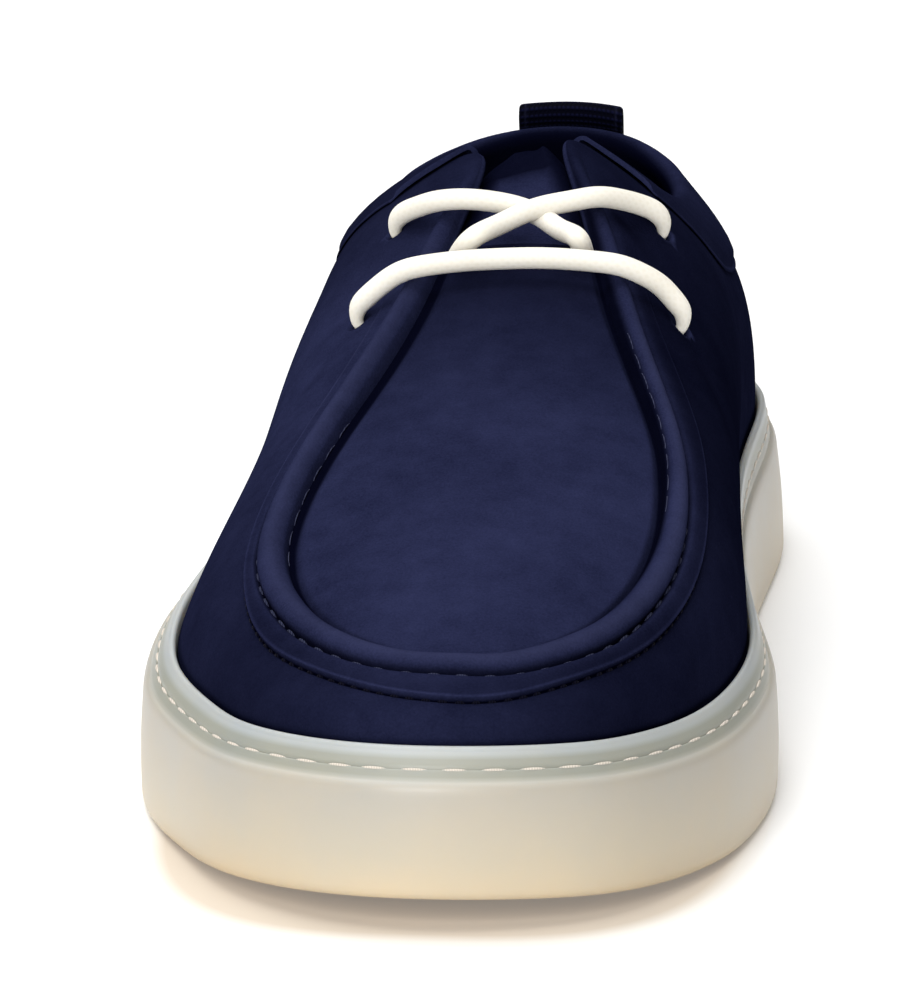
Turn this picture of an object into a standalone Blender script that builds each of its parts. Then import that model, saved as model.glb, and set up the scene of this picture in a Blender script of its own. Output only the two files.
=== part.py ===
"""A low moccasin-toe derby shoe for the right foot, built as its maker would: a rubber cup sole, an
insole, one hollow upper with a raised apron seam, a tongue, a collar band, a heel pull loop and laces.

The shoe stands on z = 0 with its toe towards -Y and its inner (medial) side towards +X. The origin is on
the floor under the middle of the heel. Tables and functions work in millimetres in the shoemaker's own
directions: across (towards the inner side), station (from the back of the heel to the toe) and height.
Everything that goes round the shoe is a function of its turn: 0 at the back of the heel, rising along the
inner side to 0.5 at the tip of the toe, and on along the outer side to 1.
"""

import math

import bmesh
import bpy
import numpy as np

MM = 0.001
UP = np.array([0.0, 0.0, 1.0])

# Driving sizes, in millimetres.
HEEL_CENTRE = 50.0
COLUMNS = 96
GAP = 0.4

# Sole.
ARCH_START, ARCH_END, ARCH_RISE = 84.0, 178.0, 2.5
SPRING_START, SPRING_END, TOE_SPRING = 226.0, 302.0, 6.0
HEEL_BEVEL_END, HEEL_BEVEL = 14.0, 1.5

# Upper.
WALL = 2.0
APRON_WALL = 1.6
APRON_RADIUS = 78.0
EYELET_RADIUS = 2.8

# Other pieces.
INSOLE_THICKNESS = 4.5
INSOLE_COLUMNS = 64
TONGUE_THICKNESS = 2.2
COLLAR_COLUMNS = 18
LOOP_HALF_WIDTH, LOOP_CENTRE, LOOP_THICKNESS = 10.4, 0.8, 1.5
LACE_RADIUS = 2.0


def table(names, rows):
    """Columns of numbers by name, from rows of numbers."""
    columns = np.array(rows, float).T
    return dict(zip(names.split(), columns))


# Sections from the back of the heel to the tip of the toe. The outline of the sole, how far its side leans
# in towards the top, and how far in from the outline the cup's recess starts, behind the stitched ledge:
OUTLINE = table("station inner outer lean ledge_inner ledge_outer", (
    (0.0, -0.8, -0.8, 1.6, 5.0, 5.0),
    (5.0, 20.6, -22.0, 1.6, 5.0, 4.8),
    (20.0, 39.0, -36.6, 1.6, 5.2, 4.6),
    (46.0, 46.2, -43.6, 1.6, 5.4, 4.4),
    (70.0, 45.8, -45.3, 1.4, 5.4, 4.2),
    (90.0, 44.7, -46.3, 1.2, 4.8, 4.0),
    (104.0, 44.3, -47.4, 1.0, 4.3, 4.1),
    (114.0, 44.3, -48.4, 0.9, 4.0, 4.3),
    (130.0, 44.8, -51.2, 0.8, 3.8, 4.8),
    (155.0, 46.8, -55.2, 0.6, 3.7, 5.6),
    (184.0, 51.1, -59.7, 0.4, 4.3, 6.2),
    (212.0, 54.3, -60.6, 0.3, 5.5, 6.1),
    (237.0, 52.6, -57.4, 0.3, 6.1, 6.6),
    (260.0, 47.3, -49.2, 0.3, 6.7, 7.0),
    (279.0, 38.7, -39.9, 0.3, 7.1, 7.2),
    (293.0, 27.0, -27.2, 0.3, 7.3, 7.3),
    (302.0, -2.0, -2.0, 0.3, 7.3, 7.3),
))

# The top edge of the upper's wall at the same sections: the collar from the heel to the throat's corner,
# then the facing's inner edge, then the apron seam round the toe.
TOP_EDGE = table("station inner outer inner_up outer_up", (
    (8.5, 0.0, 0.0, 75.4, 75.4),
    (12.0, 13.5, -14.5, 74.2, 74.2),
    (24.0, 22.3, -25.5, 71.4, 71.8),
    (44.0, 25.6, -29.6, 70.8, 71.6),
    (63.0, 24.4, -29.0, 74.4, 74.8),
    (81.0, 19.6, -23.6, 82.4, 82.0),
    (94.0, 12.2, -14.6, 91.2, 89.6),
    (103.0, 7.8, -9.2, 95.8, 92.6),
    (122.0, 11.8, -10.8, 89.6, 87.3),
    (148.0, 18.4, -15.0, 79.4, 78.6),
    (175.0, 25.5, -21.8, 69.2, 68.0),
    (202.0, 32.5, -30.0, 59.8, 57.4),
    (229.0, 33.4, -32.9, 51.2, 48.6),
    (250.0, 28.9, -27.6, 45.8, 44.4),
    (264.0, 21.8, -19.5, 43.2, 42.6),
    (272.5, 12.6, -9.3, 41.8, 41.6),
    (275.0, 3.0, 3.0, 41.5, 41.5),
))

# The form of the wall at the same sections: its outward lean at the sole on the inner and the outer side
# and its inward lean at the top edge, in degrees, how far each lean reaches as a share of the wall's chord,
# how strong the seam's roll and its flange are, and how far the edge is turned down to apron or tongue.
WALL_FORM = table("low_inner low_outer lean_top reach_low reach_top roll flange drop", (
    (6.0, 6.0, 16.0, 0.40, 0.30, 0.0, 0.0, 0.4),
    (5.0, 5.0, 22.0, 0.40, 0.32, 0.0, 0.0, 0.4),
    (2.0, 2.0, 36.0, 0.42, 0.34, 0.0, 0.0, 0.4),
    (0.0, 2.0, 50.0, 0.46, 0.36, 0.0, 0.0, 0.4),
    (2.0, 2.0, 58.0, 0.48, 0.38, 0.0, 0.0, 0.4),
    (5.0, 2.0, 62.0, 0.50, 0.42, 0.0, 0.0, 0.4),
    (8.0, 2.0, 63.0, 0.50, 0.44, 0.0, 0.0, 0.4),
    (9.0, 2.0, 62.0, 0.50, 0.46, 0.0, 0.0, 0.6),
    (10.0, 1.0, 60.0, 0.48, 0.46, 0.4, 0.0, 1.2),
    (10.0, -9.0, 60.0, 0.44, 0.46, 0.75, 0.3, 2.0),
    (2.0, -20.0, 62.0, 0.42, 0.44, 1.0, 0.9, 2.0),
    (-2.0, -19.0, 64.0, 0.40, 0.42, 1.0, 1.0, 1.6),
    (-4.0, -8.0, 66.0, 0.40, 0.40, 1.0, 1.0, 1.3),
    (0.0, 0.0, 67.0, 0.40, 0.38, 1.0, 1.0, 1.2),
    (2.0, 2.0, 68.0, 0.42, 0.38, 1.0, 1.0, 1.2),
    (4.0, 4.0, 68.0, 0.42, 0.38, 1.0, 1.0, 1.2),
    (4.0, 4.0, 68.0, 0.42, 0.38, 1.0, 1.0, 1.2),
))

# Profile across the apron seam, from the vamp to the apron: distance from the crease, and the height of
# the roll and of the flange above the wall there.
SEAM_PROFILE = table("distance roll flange", (
    (12.0, 0.0, 0.0),
    (10.1, 0.0, 0.1),
    (9.8, 0.0, 1.1),
    (7.0, 0.0, 1.2),
    (5.7, 0.0, 0.6),
    (5.1, 1.2, 0.2),
    (4.0, 2.3, 0.0),
    (2.7, 2.8, 0.0),
    (1.3, 2.3, 0.0),
    (0.3, 0.9, 0.0),
))

# The outer edge of the flange, as its distance from the crease by its turn.
FLANGE_EDGE = table("turn distance", (
    (0.22, 9.8),
    (0.26, 11.4),
    (0.30, 14.0),
    (0.33, 11.8),
    (0.356, 10.4),
    (0.38, 9.8),
    (0.405, 9.6),
    (0.43, 9.7),
    (0.45, 10.5),
    (0.47, 12.2),
    (0.486, 14.0),
    (0.508, 14.9),
    (0.532, 12.9),
    (0.555, 11.2),
    (0.578, 10.5),
    (0.60, 9.6),
    (0.618, 8.4),
    (0.636, 8.1),
    (0.653, 8.5),
    (0.70, 9.8),
    (0.75, 9.8),
))

# Heights of the sole along the shoe: the outer edge of its ledge, the lip where the upper stands, the floor
# of the cup, and how much higher edge and lip are on the outer side.
SOLE_HEIGHTS = table("station edge lip floor rise", (
    (0.0, 25.0, 31.0, 19.0, 0.0),
    (50.0, 24.2, 30.2, 18.0, 0.3),
    (110.0, 23.8, 29.6, 16.0, 1.2),
    (170.0, 22.8, 28.2, 13.5, 2.3),
    (225.0, 21.8, 27.0, 12.5, 0.8),
    (265.0, 23.0, 28.0, 14.0, 0.0),
    (302.0, 26.6, 31.8, 18.0, 0.0),
))

# The sole's side from its bottom ring over the ledge to the floor of the cup: inset from the outline, what
# share of the side's lean and of the ledge's width come on top, the height that it is measured from, and
# the height above that.
SOLE_SIDE = (
    (1.8, 0.0, 0.0, "bottom", 0.0),
    (0.6, 0.0, 0.0, "bottom", 0.5),
    (0.0, 0.0, 0.0, "bottom", 2.0),
    (0.1, 0.9, 0.0, "edge", -2.2),
    (0.5, 1.0, 0.0, "edge", -0.6),
    (1.3, 1.0, 0.0, "edge", 0.0),
    (-1.5, 0.0, 1.0, "lip", -0.6),
    (-0.7, 0.0, 1.0, "lip", 0.0),
    (0.0, 0.0, 1.0, "lip", -0.7),
    (0.0, 0.0, 1.0, "floor", 0.0),
)

# The middle of each eyelet on the upper: its turn, and its distance from the facing's edge.
EYELETS = ((0.2450, 19.7), (0.2076, 22.8), (0.7476, 15.9), (0.7886, 17.2))

# The tongue from under the apron up to its free top: the station of the facings over it, how deep it sinks
# below their underside, how far on and up from there it lies, and how far it narrows.
TONGUE = table("station sink on up width", (
    (172.0, 0.0, 0.0, 0.0, 1.0),
    (160.0, 0.0, 0.0, 0.0, 1.0),
    (150.0, 0.2, 0.0, 0.0, 1.0),
    (140.0, 0.6, 0.0, 0.0, 1.0),
    (130.0, 1.0, 0.0, 0.0, 1.0),
    (120.0, 1.6, 0.0, 0.0, 1.0),
    (110.0, 2.2, 0.0, 0.0, 1.0),
    (105.0, 3.0, 0.0, 0.0, 1.0),
    (105.0, 3.0, 4.5, 1.4, 0.70),
    (105.0, 3.0, 9.0, 2.2, 0.56),
    (105.0, 3.0, 12.0, 1.6, 0.46),
))
TONGUE_UNDER_FACING = (9.0, 4.5, 0.3)

# The collar band's depth down the outside of the collar, by the station of the collar's edge.
BAND_DEPTH = table("station depth", (
    (8.0, 16.0),
    (44.0, 16.5),
    (63.0, 18.0),
    (81.0, 20.5),
    (92.0, 20.0),
    (103.0, 16.0),
))

# The collar band's section, from under the collar's edge down to its own depth and back up over its outside,
# as shares of that depth and heights above the upper's outside:
BAND_OUTSIDE = (
    (0.22, 0.8),
    (0.46, 0.85),
    (0.72, 0.85),
    (1.0, 0.7),
    (1.0, 1.5),
    (0.72, 1.6),
    (0.46, 1.6),
    (0.22, 1.6),
)
# and from there over the edge to the inside and back, as distances down from the edge and such heights.
BAND_SECTION = (
    (0.3, 1.4),
    (-1.1, 0.8),
    (-1.7, -1.1),
    (-1.1, -3.0),
    (0.5, -3.5),
    (9.0, -3.5),
    (9.0, -2.55),
    (0.6, -2.5),
    (-0.6, -2.3),
    (-0.6, 0.1),
    (0.0, 0.65),
)

# The pull loop's middle line, which stands over the band at the back of the heel: distance down from the
# collar's edge and height above the upper's outside. Its top hangs over less than the collar's edge does.
LOOP_LINE = table("distance height", (
    (16.0, 4.8),
    (9.0, 4.8),
    (3.6, 4.9),
    (-0.2, 5.3),
    (-2.8, 5.2),
    (-4.2, 4.3),
    (-4.4, 3.1),
    (-3.5, 2.2),
    (-1.8, 2.1),
    (0.2, 2.6),
    (2.4, 2.9),
    (9.0, 2.9),
    (16.0, 2.9),
))
LOOP_SAG = table("distance share", (
    (-4.4, 0.8),
    (2.0, 1.0),
))

# Routes of the laces' centre lines: the straight bar, and the two strands that cross above it and join it.
LACE_BAR = table("across station height", (
    (-27.3, 149.7, 70.4),
    (-27.9, 149.8, 71.3),
    (-28.0, 149.9, 72.4),
    (-27.6, 150.0, 73.7),
    (-26.5, 150.2, 75.0),
    (-23.8, 151.0, 77.6),
    (-19.4, 151.9, 80.8),
    (-14.7, 152.0, 82.1),
    (-9.4, 152.0, 82.9),
    (-1.2, 152.0, 83.6),
    (7.7, 152.0, 83.9),
    (16.6, 151.8, 83.4),
    (21.0, 151.0, 82.6),
    (25.3, 149.4, 80.5),
    (28.4, 147.8, 78.1),
    (31.3, 146.9, 74.7),
    (32.3, 146.7, 73.3),
    (32.6, 146.5, 72.0),
    (32.4, 146.3, 70.9),
    (31.8, 146.2, 70.0),
))
LACE_UNDER = table("across station height", (
    (-23.1, 119.7, 80.6),
    (-23.6, 120.0, 81.5),
    (-23.6, 120.3, 82.6),
    (-23.1, 120.8, 83.7),
    (-21.9, 121.7, 84.9),
    (-19.5, 123.6, 86.4),
    (-14.9, 127.2, 88.6),
    (-10.0, 129.2, 89.5),
    (-5.3, 130.3, 89.5),
    (-0.7, 131.3, 89.0),
    (4.3, 133.8, 87.9),
    (9.1, 139.4, 86.4),
    (12.6, 145.0, 86.2),
    (14.9, 150.0, 85.3),
))
LACE_OVER = table("across station height", (
    (26.3, 118.1, 81.3),
    (26.8, 118.3, 82.2),
    (26.9, 118.7, 83.3),
    (26.4, 119.3, 84.6),
    (25.3, 120.0, 85.8),
    (23.2, 121.3, 87.1),
    (19.0, 125.0, 89.1),
    (14.7, 129.2, 90.4),
    (10.4, 132.0, 90.2),
    (6.1, 134.4, 89.8),
    (1.8, 137.4, 88.9),
    (-2.4, 141.2, 87.5),
    (-6.3, 145.6, 86.3),
    (-8.9, 150.0, 85.2),
))


def spline(knots, values, at, period=None):
    """A smooth cubic through the values at the knots, natural at its ends or closed over the period."""
    knots = np.asarray(knots, float)
    values = np.asarray(values, float)
    at = np.asarray(at, float)
    if period:
        at = (at - knots[0]) % period + knots[0]
        knots = np.append(knots, knots[0] + period)
        values = np.append(values, values[0])
    count = len(knots)
    step = np.diff(knots)
    slope = np.diff(values) / step
    system = np.zeros((count, count))
    right = np.zeros(count)
    for i in range(1, count - 1):
        system[i, i - 1 : i + 2] = step[i - 1], 2 * (step[i - 1] + step[i]), step[i]
        right[i] = 6 * (slope[i] - slope[i - 1])
    if period:
        system[0, [0, 1, -2, -1]] = 2 * step[0], step[0], step[-1], 2 * step[-1]
        right[0] = 6 * (slope[0] - slope[-1])
        system[-1, 0] = 1
        system[-1, -1] = -1
    else:
        system[0, 0] = 1
        system[-1, -1] = 1
    bend = np.linalg.solve(system, right)
    i = np.clip(np.searchsorted(knots, at, side="right") - 1, 0, count - 2)
    before = at - knots[i]
    after = knots[i + 1] - at
    cubic = (bend[i] * after**3 + bend[i + 1] * before**3) / (6 * step[i])
    start = values[i] / step[i] - bend[i] * step[i] / 6
    end = values[i + 1] / step[i] - bend[i + 1] * step[i] / 6
    return cubic + start * after + end * before


def section_turns():
    """The turn of each section on the inner side, from the mean length of the outline on both sides."""
    step = np.diff(OUTLINE["station"])
    inner = np.hypot(step, np.diff(OUTLINE["inner"]))
    outer = np.hypot(step, np.diff(OUTLINE["outer"]))
    length = np.append(0.0, np.cumsum((inner + outer) / 2))
    return 0.5 * length / length[-1]


def around(inner, outer, turn):
    """A column of the tables at any turn: down the inner side to the toe, and back along the outer side."""
    turns = section_turns()
    knots = np.append(turns, 1 - turns[-2:0:-1])
    values = np.append(inner, np.asarray(outer)[-2:0:-1])
    return spline(knots, values, turn, period=1.0)


def outline(turn):
    """Points of the sole's outline at these turns, at height 0."""
    across = around(OUTLINE["inner"], OUTLINE["outer"], turn)
    station = around(OUTLINE["station"], OUTLINE["station"], turn)
    return np.stack([across, station, np.zeros_like(across)], axis=-1)


def outline_inset(turn, inset, lean=0.0, ledge=0.0):
    """The outline moved inwards, square to itself: by a plain inset, and by shares of the side's lean and
    of the ledge's width."""
    inset = inset + lean * around(OUTLINE["lean"], OUTLINE["lean"], turn)
    inset = inset + ledge * around(OUTLINE["ledge_inner"], OUTLINE["ledge_outer"], turn)
    step = 0.002
    along = outline(turn + step) - outline(turn - step)
    along /= np.linalg.norm(along, axis=-1, keepdims=True)
    inwards = np.cross(UP, along)
    return outline(turn) + inwards * inset[..., None]


def bottom_height(station):
    """Height of the sole's underside: bevelled heel, flat heel, arch, flat forefoot and toe spring."""
    bevel = np.clip((HEEL_BEVEL_END - station) / HEEL_BEVEL_END, 0, 1)
    arch = np.clip((station - ARCH_START) / (ARCH_END - ARCH_START), 0, 1)
    spring = np.clip((station - SPRING_START) / (SPRING_END - SPRING_START), 0, None)
    return HEEL_BEVEL * bevel**2 + ARCH_RISE * np.sin(np.pi * arch) ** 2 + TOE_SPRING * spring**2


def cup_height(name, turn):
    """Height of the cup's edge, lip or floor at these turns."""
    station = outline(turn)[..., 1]
    height = spline(SOLE_HEIGHTS["station"], SOLE_HEIGHTS[name], station)
    if name == "floor":
        return height
    rise = spline(SOLE_HEIGHTS["station"], SOLE_HEIGHTS["rise"], station)
    return height + np.where(turn % 1 > 0.5, rise, 0.0)


def sole_ring(turn, inset, lean, ledge, name, above):
    """A ring of points on the sole, at an inset from its outline and above a named height."""
    ring = outline_inset(turn, inset, lean, ledge)
    height = bottom_height(ring[..., 1]) if name == "bottom" else cup_height(name, turn)
    ring[..., 2] = height + above
    return ring


def cup_ring(turn, inset, name, above):
    """A ring inside the cup's recess, with a gap to it and a further inset."""
    return sole_ring(turn, GAP + inset, 0.0, 1.0, name, above)


def flange_shift(distance, turn):
    """How far a point of the seam's profile moves out, for the flange to end at its edge."""
    edge = spline(FLANGE_EDGE["turn"], FLANGE_EDGE["distance"], np.clip(turn, 0.22, 0.75))
    return (edge - 9.8) * np.clip((distance - 5.7) / 3.3, 0, 1)


class Wall:
    """The upper's outer surface, between the sole's lip and the top edge, at a set of turns.

    Points on it are named by their distance down from the top edge and their height above the surface."""

    STEPS = 60
    NORMAL_STEP = 0.0015

    def __init__(self, turn):
        self.turn = np.asarray(turn, float)
        self.curves = self.surface(self.turn)
        before = self.surface(self.turn - self.NORMAL_STEP)
        after = self.surface(self.turn + self.NORMAL_STEP)
        normals = np.cross(after - before, np.gradient(self.curves, axis=0))
        self.normals = -normals / np.linalg.norm(normals, axis=-1, keepdims=True)
        steps = np.linalg.norm(np.diff(self.curves, axis=0), axis=-1)
        self.lengths = np.vstack([np.zeros(len(self.turn)), np.cumsum(steps, axis=0)])

    def form(self, name):
        return around(WALL_FORM[name], WALL_FORM[name], self.turn)

    @classmethod
    def surface(cls, turn):
        """One curve for each turn, as rows of points from the top edge down to the lip."""
        form = {name: around(column, column, turn)[:, None] for name, column in WALL_FORM.items()}
        lean_low = around(WALL_FORM["low_inner"], WALL_FORM["low_outer"], turn)[:, None]
        foot = cup_ring(turn, 0.0, "lip", -1.0)
        top = np.stack([
            around(TOP_EDGE["inner"], TOP_EDGE["outer"], turn),
            around(TOP_EDGE["station"], TOP_EDGE["station"], turn),
            around(TOP_EDGE["inner_up"], TOP_EDGE["outer_up"], turn),
        ], axis=-1)
        chord = top - foot
        length = np.linalg.norm(chord, axis=-1, keepdims=True)
        inwards = chord * (1, 1, 0)
        inwards /= np.linalg.norm(inwards, axis=-1, keepdims=True)
        low, high = np.radians(lean_low), np.radians(form["lean_top"])
        low_handle = foot + length * form["reach_low"] * (UP * np.cos(low) - inwards * np.sin(low))
        top_handle = top - length * form["reach_top"] * (UP * np.cos(high) + inwards * np.sin(high))
        share = np.linspace(0, 1, cls.STEPS + 1)[:, None, None]
        back = 1 - share
        return (
            back**3 * top
            + 3 * back**2 * share * top_handle
            + 3 * back * share**2 * low_handle
            + share**3 * foot
        )

    def height_of(self):
        """The wall's whole length at each turn, from its top edge to the lip."""
        return self.lengths[-1]

    def at(self, distance, height):
        """Points at a distance from the top edge, and a height above the surface. Beyond the top edge the
        surface runs straight on."""
        distance = np.broadcast_to(np.asarray(distance, float), self.turn.shape)
        height = np.broadcast_to(np.asarray(height, float), self.turn.shape)
        points = np.empty((len(self.turn), 3))
        for i, (along, above) in enumerate(zip(distance, height)):
            known = self.lengths[:, i]
            base = [np.interp(along, known, self.curves[:, i, k]) for k in range(3)]
            normal = np.array([np.interp(along, known, self.normals[:, i, k]) for k in range(3)])
            beyond = min(along, 0.0) * (self.curves[1, i] - self.curves[0, i]) / known[1]
            points[i] = base + beyond + normal / np.linalg.norm(normal) * above
        return points


class Builder:
    """Gathers points in millimetres, and the faces between them, and makes a closed object."""

    def __init__(self):
        self.points = []
        self.faces = []

    def row(self, points):
        """Adds points, and returns their numbers."""
        first = len(self.points)
        self.points.extend(np.asarray(points, float))
        return list(range(first, len(self.points)))

    def strip(self, one, other, closed=False):
        """Faces between two rows of the same length."""
        count = len(one)
        for i in range(count if closed else count - 1):
            j = (i + 1) % count
            self.faces.append((one[i], one[j], other[j], other[i]))

    def strips(self, rows, closed=False):
        for one, other in zip(rows, rows[1:]):
            self.strip(one, other, closed)

    def span(self, ring, toe):
        """Fills a ring with faces that run straight across the shoe, from the heel to the toe."""
        self.faces.append((ring[0], ring[1], ring[-1]))
        for i in range(1, toe - 1):
            self.faces.append((ring[i], ring[i + 1], ring[-i - 1], ring[-i]))
        self.faces.append((ring[toe - 1], ring[toe], ring[toe + 1]))

    def make(self, name, material):
        mesh = bpy.data.meshes.new(name)
        place = np.array(self.points) * (1, -1, 1) + (0, HEEL_CENTRE, 0)
        mesh.from_pydata((place * MM).tolist(), [], self.faces)
        work = bmesh.new()
        work.from_mesh(mesh)
        bmesh.ops.triangulate(work, faces=work.faces)
        bmesh.ops.recalc_face_normals(work, faces=work.faces)
        work.to_mesh(mesh)
        work.free()
        mesh.shade_smooth()
        mesh.set_sharp_from_angle(angle=math.radians(50))
        if material:
            mesh.materials.append(material)
        made = bpy.data.objects.new(name, mesh)
        bpy.context.collection.objects.link(made)
        return made

    def tube(self, rings):
        """A closed solid from rings of points, with a flat cap at both ends."""
        rows = [self.row(ring) for ring in rings]
        self.strips([[*row, row[0]] for row in rows])
        self.faces.append(tuple(rows[0]))
        self.faces.append(tuple(rows[-1]))


def ring_turns(columns=COLUMNS):
    return np.arange(columns) / columns


def make_outsole(material):
    """The rubber cup: flat heel and forefoot, side wall, sloping ledge, lip and recess."""
    builder = Builder()
    rings = [builder.row(sole_ring(ring_turns(), *level)) for level in SOLE_SIDE]
    builder.strips(rings, closed=True)
    builder.span(rings[0], COLUMNS // 2)
    builder.span(rings[-1], COLUMNS // 2)
    return builder.make("outsole", material)


def make_insole(material):
    """A footbed that lies on the floor of the cup, inside the upper's lower edge."""
    builder = Builder()
    inset = WALL + 2 * GAP
    levels = ((inset, GAP), (inset, INSOLE_THICKNESS - 1), (inset + 1, INSOLE_THICKNESS))
    turns = ring_turns(INSOLE_COLUMNS)
    rings = [builder.row(cup_ring(turns, ring, "floor", above)) for ring, above in levels]
    builder.strips(rings, closed=True)
    builder.span(rings[0], INSOLE_COLUMNS // 2)
    builder.span(rings[-1], INSOLE_COLUMNS // 2)
    return builder.make("insole", material)


WALL_LEVELS = (0.30, 0.42, 0.54, 0.66, 0.78, 0.89)
INNER_LEVELS = (0.12, 0.25, 0.39, 0.53, 0.68, 0.84)
SEAM_HALF_COLUMNS = 25
APRON_STRIPS = 8


def outer_rows(wall):
    """Rows of the upper's outside, from the cup's floor up to the crease at the top edge."""
    turn = wall.turn
    rows = [cup_ring(turn, 0.0, "floor", GAP), cup_ring(turn, 0.0, "lip", -1.0)]
    length = wall.height_of()
    start = SEAM_PROFILE["distance"][0] + flange_shift(SEAM_PROFILE["distance"][0], turn)
    for level in reversed(WALL_LEVELS):
        rows.append(wall.at(start + (length - start) * level, 0.0))
    roll, flange = (np.clip(wall.form(name), 0, 1) for name in ("roll", "flange"))
    for distance, roll_height, flange_height in zip(*SEAM_PROFILE.values()):
        at = distance + flange_shift(distance, turn)
        rows.append(wall.at(at, roll * roll_height + flange * flange_height))
    rows.append(wall.at(0.0, -wall.form("drop")))
    return rows


def inner_rows(wall):
    """Rows of the upper's inside, from the crease at the top edge down to the cup's floor."""
    turn = wall.turn
    length = wall.height_of()
    rows = [wall.at(0.3, -wall.form("drop") - APRON_WALL)]
    for level in INNER_LEVELS:
        rows.append(wall.at(length * level, -WALL))
    rows.append(cup_ring(turn, WALL, "lip", -1.0))
    rows.append(cup_ring(turn, WALL, "floor", GAP))
    return rows


def apron_row(outer_point, inner_point, strips=APRON_STRIPS):
    """Points of the apron strictly between two points of its seam, on an arc across the shoe."""
    share = np.linspace(0, 1, strips + 1)[1:-1, None]
    half_width = np.linalg.norm(inner_point - outer_point) / 2
    crown = half_width**2 / (2 * APRON_RADIUS)
    lift = np.array([0.0, 0.32, 0.95])
    return outer_point + (inner_point - outer_point) * share + lift * crown * 4 * share * (1 - share)


def add_apron(builder, crease, rim, toe):
    """The apron between the two sides of the seam, with its underside and its end under the laces."""
    points = builder.points
    last_top = last_under = None
    for i in range(1, SEAM_HALF_COLUMNS + 1):
        outer, inner = toe + i, toe - i
        top = [crease[outer], *builder.row(apron_row(points[crease[outer]], points[crease[inner]])), crease[inner]]
        under = [rim[outer], *builder.row(apron_row(points[rim[outer]], points[rim[inner]])), rim[inner]]
        if i == 1:
            for j in range(APRON_STRIPS):
                builder.faces.append((crease[toe], top[j], top[j + 1]))
                builder.faces.append((rim[toe], under[j], under[j + 1]))
        else:
            builder.strip(last_top, top)
            builder.strip(last_under, under)
        last_top, last_under = top, under
    builder.strip(last_top, last_under)


def make_upper(material):
    """Vamp, quarters, facings and apron as one hollow wall, open at the collar, throat and underneath."""
    builder = Builder()
    wall = Wall(ring_turns())
    outside = [builder.row(points) for points in outer_rows(wall)]
    inside = [builder.row(points) for points in inner_rows(wall)]
    builder.strips(outside, closed=True)
    builder.strips(inside, closed=True)
    builder.strip(outside[0], inside[-1], closed=True)
    toe = COLUMNS // 2
    crease, rim = outside[-1], inside[0]
    add_apron(builder, crease, rim, toe)
    free = [i % COLUMNS for i in range(toe + SEAM_HALF_COLUMNS, toe + COLUMNS - SEAM_HALF_COLUMNS + 1)]
    builder.strip([crease[i] for i in free], [rim[i] for i in free])
    upper = builder.make("upper", material)
    cut(upper, make_eyelet_cutters())
    return upper


def make_eyelet_cutters():
    """Four pins square to the facings, to cut the eyelets with."""
    builder = Builder()
    for turn, distance in EYELETS:
        wall = Wall([turn])
        below, above = wall.at(distance, -6.0)[0], wall.at(distance, 6.0)[0]
        builder.tube(round_rings(np.array([below, above]), EYELET_RADIUS, 12))
    return builder.make("eyelet_cutters", None)


def cut(target, cutter):
    """Takes a hidden cutter away from an object."""
    cutter.hide_render = True
    cutter.display_type = "WIRE"
    boolean = target.modifiers.new("cut", "BOOLEAN")
    boolean.operation = "DIFFERENCE"
    boolean.solver = "EXACT"
    boolean.object = cutter


def round_rings(centres, radius, sides):
    """Round rings square to a line of centres, without twist between them."""
    along = np.gradient(centres, axis=0)
    along /= np.linalg.norm(along, axis=1, keepdims=True)
    side = np.cross(along[0], UP if abs(along[0, 2]) < 0.9 else (0.0, 1.0, 0.0))
    angles = 2 * np.pi * np.arange(sides)[:, None] / sides
    rings = []
    for centre, direction in zip(centres, along):
        side = side - direction * (side @ direction)
        side /= np.linalg.norm(side)
        other = np.cross(direction, side)
        rings.append(centre + radius * (np.cos(angles) * side + np.sin(angles) * other))
    return rings


def station_turn(station):
    """The turn on the inner side where the upper's top edge reaches a station."""
    return np.interp(station, TOP_EDGE["station"], section_turns())


def make_tongue(material):
    """A padded strip under the facings, from below the apron's end to its free top above the throat."""
    rows = []
    for station, sink, on, up, width in zip(*TONGUE.values()):
        turn = station_turn(station)
        wall = Wall([1 - turn, turn])
        depth = -(wall.form("drop") + APRON_WALL + GAP + sink)
        sides = [wall.at(distance, depth) for distance in TONGUE_UNDER_FACING]
        middle = apron_row(sides[-1][0], sides[-1][1], 6)
        row = np.array([*(side[0] for side in sides), *middle, *(side[1] for side in reversed(sides))])
        centre = row[len(row) // 2]
        row[:, 0] = centre[0] + (row[:, 0] - centre[0]) * width
        row[:, 2] = centre[2] + (row[:, 2] - centre[2]) * width
        rows.append(row + (0.0, -on, up))
    top = np.array(rows)
    square = np.cross(np.gradient(top, axis=1), np.gradient(top, axis=0))
    square /= np.linalg.norm(square, axis=-1, keepdims=True)
    under = top - TONGUE_THICKNESS * square * np.sign(square[..., 2:])
    builder = Builder()
    builder.tube([np.vstack([over, below[::-1]]) for over, below in zip(top, under)])
    return builder.make("tongue", material)


def make_collar_band(material):
    """A folded band over the collar's edge, from one facing round the heel to the other."""
    wall = Wall(np.arange(-COLLAR_COLUMNS, COLLAR_COLUMNS + 1) / COLUMNS)
    stations = wall.curves[0, :, 1]
    depths = np.interp(stations, BAND_DEPTH["station"], BAND_DEPTH["depth"])
    points = []
    for part, height in BAND_OUTSIDE:
        points.append(wall.at(depths * part, height))
    points += [wall.at(distance, height) for distance, height in BAND_SECTION]
    builder = Builder()
    builder.tube(np.array(points).transpose(1, 0, 2))
    return builder.make("collar_band", material)


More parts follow.
